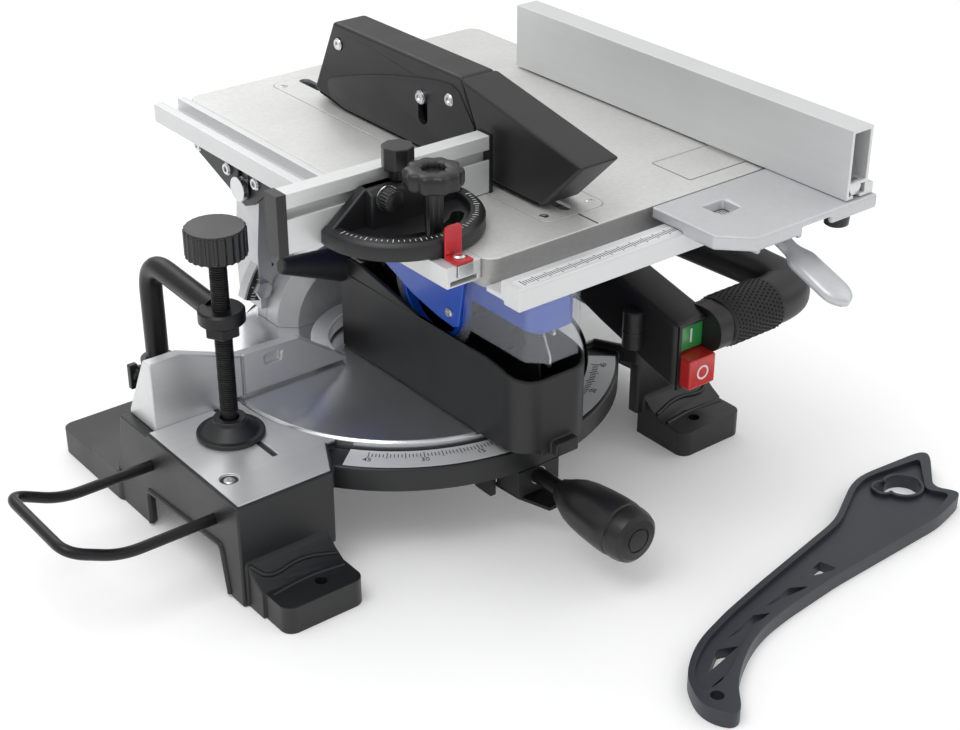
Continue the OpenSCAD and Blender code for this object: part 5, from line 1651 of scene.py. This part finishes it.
@dataclass
class SawTable:
    """Upper saw table with its rails, brackets and lock knob."""

    shop: Workshop
    rail_top: float = 256.0
    table_z: float = 263.0
    rail_front: float = -253.0
    bracket_x: float = 66.0
    bracket_screws: tuple[Point2, ...] = ((176, 209.5), (133, 203), (92, 204))
    knob_x: Point2 = (66.3, 92.0)
    hinge_y: float = 112.0
    hinge_z: float = 194.0

    def build(self) -> None:
        """Dresses the saw table and adds its scale, screws and knob."""
        self.shop.dress(TABLE_TOP, 0.9, "table_plate")
        self.shop.dress(TABLE_TOP, 0.3, "table_insert")
        self.shop.dress(DRAWN_Y, 0.6, "slot_rail")
        self.shop.dress(DRAWN_X, 0.6, "front_rail")
        self.shop.dress(BLACK_PAINT, 1.4, "table_brackets")
        places = [(at(side * self.bracket_x, y, z), X_AXIS * side) for y, z in self.bracket_screws
                  for side in (1, -1)]
        self.shop.screws("bracket_screws", "saw_table", 5.2, 3.2, places)
        insert = [(at(x, y, 262.9), Z_AXIS) for x in (-20, 20) for y in (-190, 120)]
        self.shop.screws("insert_screws", "saw_table", 3.2, 0.6, insert)
        self.rail_scale()
        self.lock_knob()

    def rail_scale(self) -> None:
        """Plain ruler marks along the top of the front rail."""
        marks = grow("rail_marks", Trees.row(), Count=121, Step=(2 * MM, 0, 0),
                     Bar=(0.5 * MM, 7 * MM, 0.25 * MM), Long_Every=5,
                     Place=at(-84, self.rail_front + 7, self.rail_top + 0.05),
                     Material=INK_AND_PAINTED_SHADE.material())
        self.shop.add(marks, "saw_table", INK_AND_PAINTED_SHADE)
        front = self.rail_front + 2.5
        band = strip("rail_band", (-88, 160), (front, front + 10), self.rail_top - 0.3, 0.33)
        self.shop.add(band, "saw_table", SCALE_WHITE)
        line = strip("blade_line", (-0.7, 0.7), (-220, -200.5), self.table_z - 0.2, 0.23)
        self.shop.add(line, "saw_table", INK_AND_PAINTED_SHADE)

    def lock_knob(self) -> None:
        """Five-lobed knob on the hinge pin."""
        def lobes(angle: float, share: float) -> float:
            """Round hub below five lobes."""
            if share < 0.32:
                return 1.0
            return 1.0 + 0.13 * math.cos(5 * angle)
        profile = [(6.1, 0), (10, 0), (11, 1), (11, 7.4), (17, 8.4), (18.6, 10.5), (18.8, 22), (17, 25),
                   (12, 25.6), (3, 25.6)]
        made = Sketch().lathe(profile, at(self.knob_x[0], self.hinge_y, self.hinge_z), X_AXIS, 80, lobes)
        self.shop.add(made.done("table_star_knob"), "table_lock", FINE_PLASTIC, "table_lock_knob")


@dataclass
class RipFence:
    """Rip fence profile on its carriage, with the clamp lever."""

    shop: Workshop
    lever_x: float = 118.0
    lever_y: float = -262.0
    lever_z: float = 240.0

    def build(self) -> None:
        """Dresses the rip fence and adds its lever and small pieces."""
        self.shop.dress(SILVER_PAINT, 1.6, "rip_carriage")
        self.shop.dress(DRAWN_Y, 0.6, "rip_profile")
        self.lever()
        self.foot()
        self.end_plate()

    def lever(self) -> None:
        """Polished lever: round hub, narrow stem and oval paddle."""
        hub = [(6, 0), (6.5, 0.5), (6.5, 22.5), (6, 23)]
        made = Sketch().lathe(hub, at(self.lever_x - 11.5, self.lever_y, self.lever_z), X_AXIS, 40)
        made.lathe([(2.6, 0), (3, 0.4), (3, 42.6), (2.6, 43)],
                   at(self.lever_x - 21.5, self.lever_y, self.lever_z), X_AXIS, 24)
        corners = [at(self.lever_x, self.lever_y, self.lever_z), at(self.lever_x, -286, 230),
                   at(self.lever_x, -332, 213)]
        path = dense_path(rounded_path(corners, 12), 2.0)

        def section(share: float) -> Sequence[Point2]:
            """Narrow stem that widens to an oval paddle with a round end."""
            spread = min(1.0, max(0.0, (share - 0.26) / 0.22))
            wide = 6.2 + 5.2 * spread * spread * (3 - 2 * spread)
            high = 4.2 + 1.0 * spread
            close = max(0.0, (share - 0.84) / 0.16)
            tip = math.sqrt(max(0.02, 1 - close * close))
            return oval_section(wide * tip, high * (0.35 + 0.65 * tip), 32, 2.5)

        made.sweep(path, section, Z_AXIS)
        self.shop.add(made.done("rip_clamp_lever", 40), "rip_clamp", SILVER_PAINT, "rip_lever")

    def foot(self) -> None:
        """Black pad under the outer end of the carriage."""
        profile = [(7, 0), (8.4, 1), (9.4, 14), (9.4, 18)]
        made = Sketch().lathe(profile, at(161, -280, 239), Z_AXIS, 40)
        self.shop.add(made.done("carriage_foot"), "rip_fence", FINE_PLASTIC)

    def end_plate(self) -> None:
        """Nut and bolt end seen inside the open profile."""
        nut = Sketch().lathe([(2, 0), (5.4, 0), (6, 0.8), (6, 5), (2, 5)], at(158, -290, 271.5), -Y_AXIS, 6)
        self.shop.add(nut.done("profile_nut"), "rip_fence", ZINC)


@dataclass
class MitreGauge:
    """Mitre gauge with its protractor head, bar, pointer and knobs."""

    shop: Workshop
    x: float = -103.0
    pivot_y: float = -146.0
    knob_y: float = -183.0
    table_z: float = 263.0
    floor_radius: float = 45.4
    slot_half: float = 4.3
    boss_half: float = 26.0
    rim_section: tuple[Point2, ...] = ((45, 1), (45, 12.4), (45.6, 13), (51.6, 13), (52.6, 12.5),
                                       (54.6, 10.5), (55, 9.6), (55, 1.8), (54.2, 1))
    web_outline: tuple[Point2, ...] = ((-54.6, 1), (-54.6, 10), (-26, 33), (26, 33), (54.6, 10), (54.6, 1))
    boss_outline: tuple[Point2, ...] = ((-154, 1), (-154, 30), (-150, 33), (-139.2, 33), (-139.2, 1))

    def build(self) -> None:
        """Dresses the gauge and adds its star knob, ticks and screw."""
        self.shop.dress(ZINC, 0.3, "gauge_guide")
        self.shop.dress(RED_PAINT, 0.35, "gauge_pointer")
        self.shop.dress(DRAWN_X, 0.5, "gauge_fence")
        self.shop.dress(FINE_PLASTIC, 1.0, "gauge_thumb_top", "gauge_thumb_side")
        self.head_rim()
        self.head_floor()
        self.head_web()
        self.thumb_knurl()
        self.star_knob()
        self.bar_caps()
        ticks = grow("gauge_ticks", Trees.arc_ticks(), Count=41, Radius=49.4 * MM, Start=math.radians(190),
                     Sweep=math.radians(160), Mark=(4.0 * MM, 0.45 * MM, 0.25 * MM), Long_Every=5,
                     Place=at(self.x, self.pivot_y, self.table_z + 13.05), Material=MARK_WHITE.material())
        self.shop.add(ticks, "gauge_turn", MARK_WHITE)
        screw = [(at(self.x, -208, self.table_z + 2), Z_AXIS)]
        self.shop.screws("pointer_screw", "gauge", 4.3, 2.2, screw)

    def head_rim(self) -> None:
        """Thick curved rim of the protractor head, with a bevelled shoulder for the ticks."""
        rings = []
        for k in range(109):
            a = math.radians(-187.2 + 194.4 * k / 108)
            rings.append([at(self.x + r * math.cos(a), self.pivot_y + r * math.sin(a), self.table_z + h)
                          for r, h in self.rim_section])
        self.shop.add(Sketch().skin(rings).done("gauge_rim", 40), "gauge_turn", BLACK_PAINT, "gauge_head")

    def head_floor(self) -> None:
        """Floor of the protractor head, with its arc slot and the low wall round the slot."""
        reach = self.floor_radius
        edge = [at(self.x + reach * math.cos(a), self.pivot_y + reach * math.sin(a), self.table_z + 1)
                for a in (math.radians(-188.0 + 196.0 * k / 72) for k in range(73))]
        plate = Sketch().prism(edge, Z_AXIS * 7 * MM).done("gauge_floor_plate")
        slot = Sketch().prism(self.slot_loop(self.slot_half, -1), Z_AXIS * 20 * MM).done("gauge_floor_slot")
        self.shop.add(carved("gauge_floor", plate, slot), "gauge_turn", BLACK_PAINT)
        inner, outer = self.slot_half, self.slot_half + 2
        loops = [self.slot_loop(half, h)
                 for half, h in ((inner, 7.8), (outer, 7.8), (outer, 9.8), (inner, 9.8))]
        lip = Sketch().skin([list(ring) for ring in zip(*loops)], closed=True)
        self.shop.add(lip.done("gauge_slot_lip", 40), "gauge_turn", BLACK_PAINT)

    def slot_loop(self, half: float, height: float) -> list[Vector]:
        """Outline of the arc slot.

        Args:
            half: Half of its width in millimetres.
            height: Height above the table.

        Returns:
            The closed outline.
        """
        reach, middle, spread = self.pivot_y - self.knob_y, -math.pi / 2, math.radians(50)
        loop = []
        for radius, way in ((reach + half, 1), (reach - half, -1)):
            for k in range(33):
                a = middle + way * spread * (2 * k / 32 - 1)
                loop.append((radius * math.cos(a), radius * math.sin(a)))
            end = middle + way * spread
            for k in range(1, 8):
                turn = end + (0 if way > 0 else math.pi) + math.pi * k / 8
                loop.append((reach * math.cos(end) + half * math.cos(turn),
                             reach * math.sin(end) + half * math.sin(turn)))
        return [at(self.x + u, self.pivot_y + v, self.table_z + height) for u, v in loop]

    def head_web(self) -> None:
        """Sloped web along the bar and the block that carries the thumb knobs."""
        web = Sketch().prism([at(self.x + u, -147, self.table_z + h) for u, h in self.web_outline],
                             Y_AXIS * 7.9 * MM)
        plate = web.done("gauge_web")
        round_edges(plate, 1.2, 3)
        self.shop.add(plate, "gauge_turn", BLACK_PAINT)
        block = Sketch().prism([at(self.x - self.boss_half, y, self.table_z + h)
                                for y, h in self.boss_outline], X_AXIS * 2 * self.boss_half * MM)
        boss = block.done("gauge_boss")
        round_edges(boss, 1.2, 3)
        self.shop.add(boss, "gauge_turn", BLACK_PAINT)

    def thumb_knurl(self) -> None:
        """Ribbed cover and bright washer of the side thumb knob."""
        def ribs(angle: float, share: float) -> float:
            """Fine ribs round the thumb knob."""
            return 1.0 + 0.035 * math.cos(22 * angle)
        spot = at(self.x - 15, -164.3, self.table_z + 27)
        profile = [(2, 0), (6.3, 0), (7.2, 0.9), (7.4, 2), (7.4, 9), (2, 9)]
        self.shop.add(Sketch().lathe(profile, spot, Y_AXIS, 132, ribs).done("thumb_ribs", 50),
                      "gauge_bar_lock", FINE_PLASTIC)
        washer = Sketch().hoop([(7.05, 9.0), (8.3, 9.0), (8.3, 9.8), (7.05, 9.8)], spot, Y_AXIS, 48)
        self.shop.add(washer.done("thumb_washer"), "gauge_bar_lock", ZINC)

    def bar_caps(self) -> None:
        """Black end caps of the fence bar."""
        low, high = self.table_z + 0.2, self.table_z + 40.9
        front, back = -139.1, -125.6
        for side, (near, far) in {"left": (-181.5, -188.6), "right": (-24.5, -21.6)}.items():
            outline = [at(near, front, low), at(near, back, low), at(near, back, high),
                       at(near, front, high)]
            cap = Sketch().prism(outline, X_AXIS * (far - near) * MM)
            self.shop.add(cap.done(f"bar_cap_{side}"), "gauge_bar", FINE_PLASTIC)

    def star_knob(self) -> None:
        """Ten-lobed knob with a round recess and a tapered stem."""
        def lobes(angle: float, share: float) -> float:
            """Fluted stem below ten lobes."""
            if share < 0.76:
                return 1.0 + 0.02 * math.cos(14 * angle)
            return 1.0 + 0.05 * math.cos(10 * angle)
        profile = [(3.4, 0), (5.3, 0.2), (5.5, 1), (6.4, 30), (6.8, 31.6), (15, 32), (17.6, 33.2),
                   (18.3, 35), (18.3, 41.5), (17.6, 43.6), (15.8, 44.6), (8.4, 44.7), (7.8, 44.2),
                   (7.6, 41), (2, 40.8)]
        made = Sketch().lathe(profile, at(self.x, self.knob_y, self.table_z + 8.3), Z_AXIS, 120, lobes)
        self.shop.add(made.done("gauge_star_knob", 48), "gauge_lock", FINE_PLASTIC, "gauge_knob")


@dataclass
class PushStick:
    """Loose push stick on the bench, moulded with a rim, windows and a hanging eye."""

    shop: Workshop
    foot: Point2 = (-42.0, -392.0)
    turn: float = 18.0
    thick: float = 12.0
    floor: float = 8.0
    outline: tuple[Point2, ...] = ((4, 23), (16, 29), (33, 34), (50, 36), (82, 35), (124, 31), (216, 20),
                                   (229, 20), (250, 24), (271, 28), (285, 28), (297, 25), (346, 4),
                                   (350, -2), (345, -7), (306, -24), (311, -41), (306, -45), (278, -43),
                                   (267, -41), (163, -10), (111, 2), (86, 6), (65, 6), (46, 3), (28, -2),
                                   (14, -8), (2, -16), (-6, -19), (-12, -15), (-14, -3), (-10, 9))
    recess: tuple[Point2, ...] = ((-2, 8), (9, 21), (18, 25), (34, 29), (50, 31), (82, 30), (124, 26),
                                  (216, 15), (229, 15), (250, 19), (271, 23), (285, 23), (296, 20),
                                  (338, -1), (299, -21), (304, -38), (280, -38), (268, -36), (164, -5),
                                  (112, 7), (86, 11), (64, 11), (44, 8), (26, 4), (14, 4))
    windows: tuple[tuple[Point2, ...], ...] = (((146, 12), (175, 8), (174, -6)),
                                               ((106, 17), (134, 13), (144, 2)),
                                               ((60, 23), (92, 20), (104, 9)),
                                               ((20, 17), (46, 23), (57, 13)), ((9, 9), (24, 7), (14, 5)))
    eyes: tuple[tuple[float, float, float], ...] = ((297, -4, 13.5), (286, 7, 7.0))

    def build(self) -> None:
        """Moulds the stick and the walls of its eye and hole."""
        slab = self.slab(self.outline, 0.0, self.thick, 9.0).done("stick_slab", 40)
        round_edges(slab, 2.0, 4)
        pocket = self.slab(self.recess, self.floor, 6.0, 6.0).done("stick_pocket")
        moulded = carved("stick_moulding", slab, pocket)
        windows = Sketch()
        for window in self.windows:
            windows.prism(rounded_loop([self.place(u, v, -2) for u, v in window], 1.6), Z_AXIS * 18 * MM)
        windows.lathe([(4.6, 0), (4.6, 18)], self.place(0, 0, -2), Z_AXIS, 48)
        made = carved("stick_frame", moulded, windows.done("stick_windows"))
        made = carved("stick_large_eye", made, self.bore(0))
        self.shop.add(carved("stick_body", made, self.bore(1)), "stick", STICK_PLASTIC, "push_stick")
        for own, other, name in ((0, 1, "large"), (1, 0, "small")):
            u, v, radius = self.eyes[own]
            wall = self.wall(u, v, radius).done(f"stick_{name}_wall")
            self.shop.add(carved(f"stick_{name}_rim", wall, self.bore(other)), "stick", STICK_PLASTIC)
        self.shop.add(self.wall(0, 0, 4.6).done("stick_hole_rim"), "stick", STICK_PLASTIC)

    def place(self, along: float, across: float, height: float) -> Vector:
        """A point of the stick in the frame.

        Args:
            along: Distance along the stick in millimetres.
            across: Distance across it.
            height: Height above the bench.

        Returns:
            The point in metres.
        """
        c, s = math.cos(math.radians(self.turn)), math.sin(math.radians(self.turn))
        return at(self.foot[0] + along * c - across * s, self.foot[1] + along * s + across * c, height)

    def slab(self, outline: Sequence[Point2], low: float, tall: float, radius: float) -> Sketch:
        """A flat slab with rounded corners.

        Args:
            outline: Corners along and across the stick.
            low: Height of its underside.
            tall: Its thickness.
            radius: Reach of the corner rounding.

        Returns:
            The sketch of the slab.
        """
        loop = rounded_loop([self.place(u, v, low) for u, v in outline], radius)
        return Sketch().prism(loop, Z_AXIS * tall * MM)

    def bore(self, which: int) -> bpy.types.Object:
        """Cutter for one circle of the hanging eye."""
        u, v, radius = self.eyes[which]
        return Sketch().lathe([(radius, 0), (radius, 18)], self.place(u, v, -2), Z_AXIS,
                              64).done("stick_bore")

    def wall(self, along: float, across: float, radius: float) -> Sketch:
        """Round wall that stands on the floor of the stick.

        Args:
            along: Middle of the wall along the stick.
            across: Middle of the wall across it.
            radius: Inner radius.

        Returns:
            The sketch of the wall.
        """
        outer = radius + 2.5
        section = [(radius, -0.2), (outer, -0.2), (outer, 2.9), (outer - 0.6, 3.5), (radius + 0.6, 3.5),
                   (radius, 2.9)]
        return Sketch().hoop(section, self.place(along, across, self.floor), Z_AXIS, 64)


@dataclass
class Studio:
    """Pale floor, soft light and the camera."""

    eye: tuple[float, float, float] = (-689.8, -974.5, 722.5)
    target: tuple[float, float, float] = (119.6, 54.05, 0.0)
    lens: float = 65.44
    floor_radius: float = 5.0
    lamps: tuple[tuple[str, tuple[float, float, float], float, float],
                 ...] = field(default_factory=lambda: (("key", (-0.9, -0.3, 1.9), 1.1, 11.0),
                                                       ("fill", (1.6, -0.9, 1.3), 1.4, 4.0),
                                                       ("back", (0.3, 1.7, 1.5), 1.2, 7.0)))

    def build(self) -> None:
        """Sets up the whole studio."""
        bpy.context.scene.view_settings.view_transform = "Standard"
        bpy.context.scene.cycles.transparent_max_bounces = 32
        self.camera()
        self.floor()
        self.world()
        for name, place, size, power in self.lamps:
            self.lamp(name, Vector(place), size, power)

    def camera(self) -> None:
        """Camera at the photograph's angle."""
        data = bpy.data.cameras.new("camera")
        data.lens = self.lens
        data.sensor_width = 36.0
        data.sensor_fit = "HORIZONTAL"
        data.clip_start = 0.05
        holder = bpy.data.objects.new("camera", data)
        bpy.context.scene.collection.objects.link(holder)
        holder.location = at(*self.eye)
        holder.rotation_euler = (at(*self.target) - at(*self.eye)).to_track_quat("-Z", "Y").to_euler()
        bpy.context.scene.camera = holder

    def floor(self) -> None:
        """Round white floor that keeps the shadow."""
        disc = bmesh.new()
        bmesh.ops.create_circle(disc, cap_ends=True, segments=96, radius=self.floor_radius)
        mesh = bpy.data.meshes.new("floor")
        disc.to_mesh(mesh)
        disc.free()
        holder = link("floor", mesh)
        paint = bpy.data.materials.new("white floor")
        paint.use_nodes = True
        shader = paint.node_tree.nodes["Principled BSDF"]
        shader.inputs["Base Color"].default_value = (0.95, 0.95, 0.95, 1)
        shader.inputs["Emission Color"].default_value = (1, 1, 1, 1)
        shader.inputs["Emission Strength"].default_value = 0.10
        shader.inputs["Roughness"].default_value = 0.9
        shader.inputs["Specular IOR Level"].default_value = 0.1
        mesh.materials.append(paint)

    def world(self) -> None:
        """White surround for the camera and reflections, a little softer as light."""
        surround = bpy.data.worlds.new("studio")
        bpy.context.scene.world = surround
        surround.use_nodes = True
        sketch = TreeSketch(surround.node_tree)
        sketch.tree.nodes.clear()
        rays = sketch.node("ShaderNodeLightPath").outputs
        seen = sketch.math("MAXIMUM", rays["Is Camera Ray"], rays["Is Transmission Ray"])
        way = sketch.node("ShaderNodeTexCoord").outputs["Generated"]
        height = sketch.node("ShaderNodeSeparateXYZ", Vector=way).outputs["Z"]
        glow = sketch.node("ShaderNodeMapRange", Value=height, From_Min=0.0, From_Max=0.9, To_Min=0.46,
                           To_Max=0.94)
        soft = sketch.node("ShaderNodeBackground", Color=(1, 1, 1, 1), Strength=glow.outputs["Result"])
        white = sketch.node("ShaderNodeBackground", Color=(1, 1, 1, 1), Strength=1.0)
        mix = sketch.node("ShaderNodeMixShader", Fac=seen)
        sketch.put(mix.inputs[1], soft.outputs[0])
        sketch.put(mix.inputs[2], white.outputs[0])
        leave = sketch.node("ShaderNodeOutputWorld")
        sketch.put(leave.inputs["Surface"], mix.outputs[0])

    @staticmethod
    def lamp(name: str, place: Vector, size: float, power: float) -> None:
        """Adds a soft square lamp that points at the saw.

        Args:
            name: Name of the lamp.
            place: Where it hangs, in metres.
            size: Side of the square in metres.
            power: Power in watts.
        """
        data = bpy.data.lights.new(name, "AREA")
        data.size = size
        data.energy = power
        holder = bpy.data.objects.new(name, data)
        bpy.context.scene.collection.objects.link(holder)
        holder.location = place
        holder.rotation_euler = (Vector((0, 0, 0.15)) - place).to_track_quat("-Z", "Y").to_euler()


def main() -> None:
    """Sets up the studio, builds every sub-assembly, and logs how many pieces were added."""
    logging.basicConfig(level=logging.INFO, format="%(message)s")
    shop = Workshop(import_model())
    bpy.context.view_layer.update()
    Studio().build()
    groups = (MitreBase, WorkClamp, TurntableGroup, SawHead, Guards, SawTable, RipFence, MitreGauge,
              PushStick)
    for group in groups:
        group(shop).build()
    LOG.info("%d pieces added", shop.count)


if __name__ == "__main__":
    main()
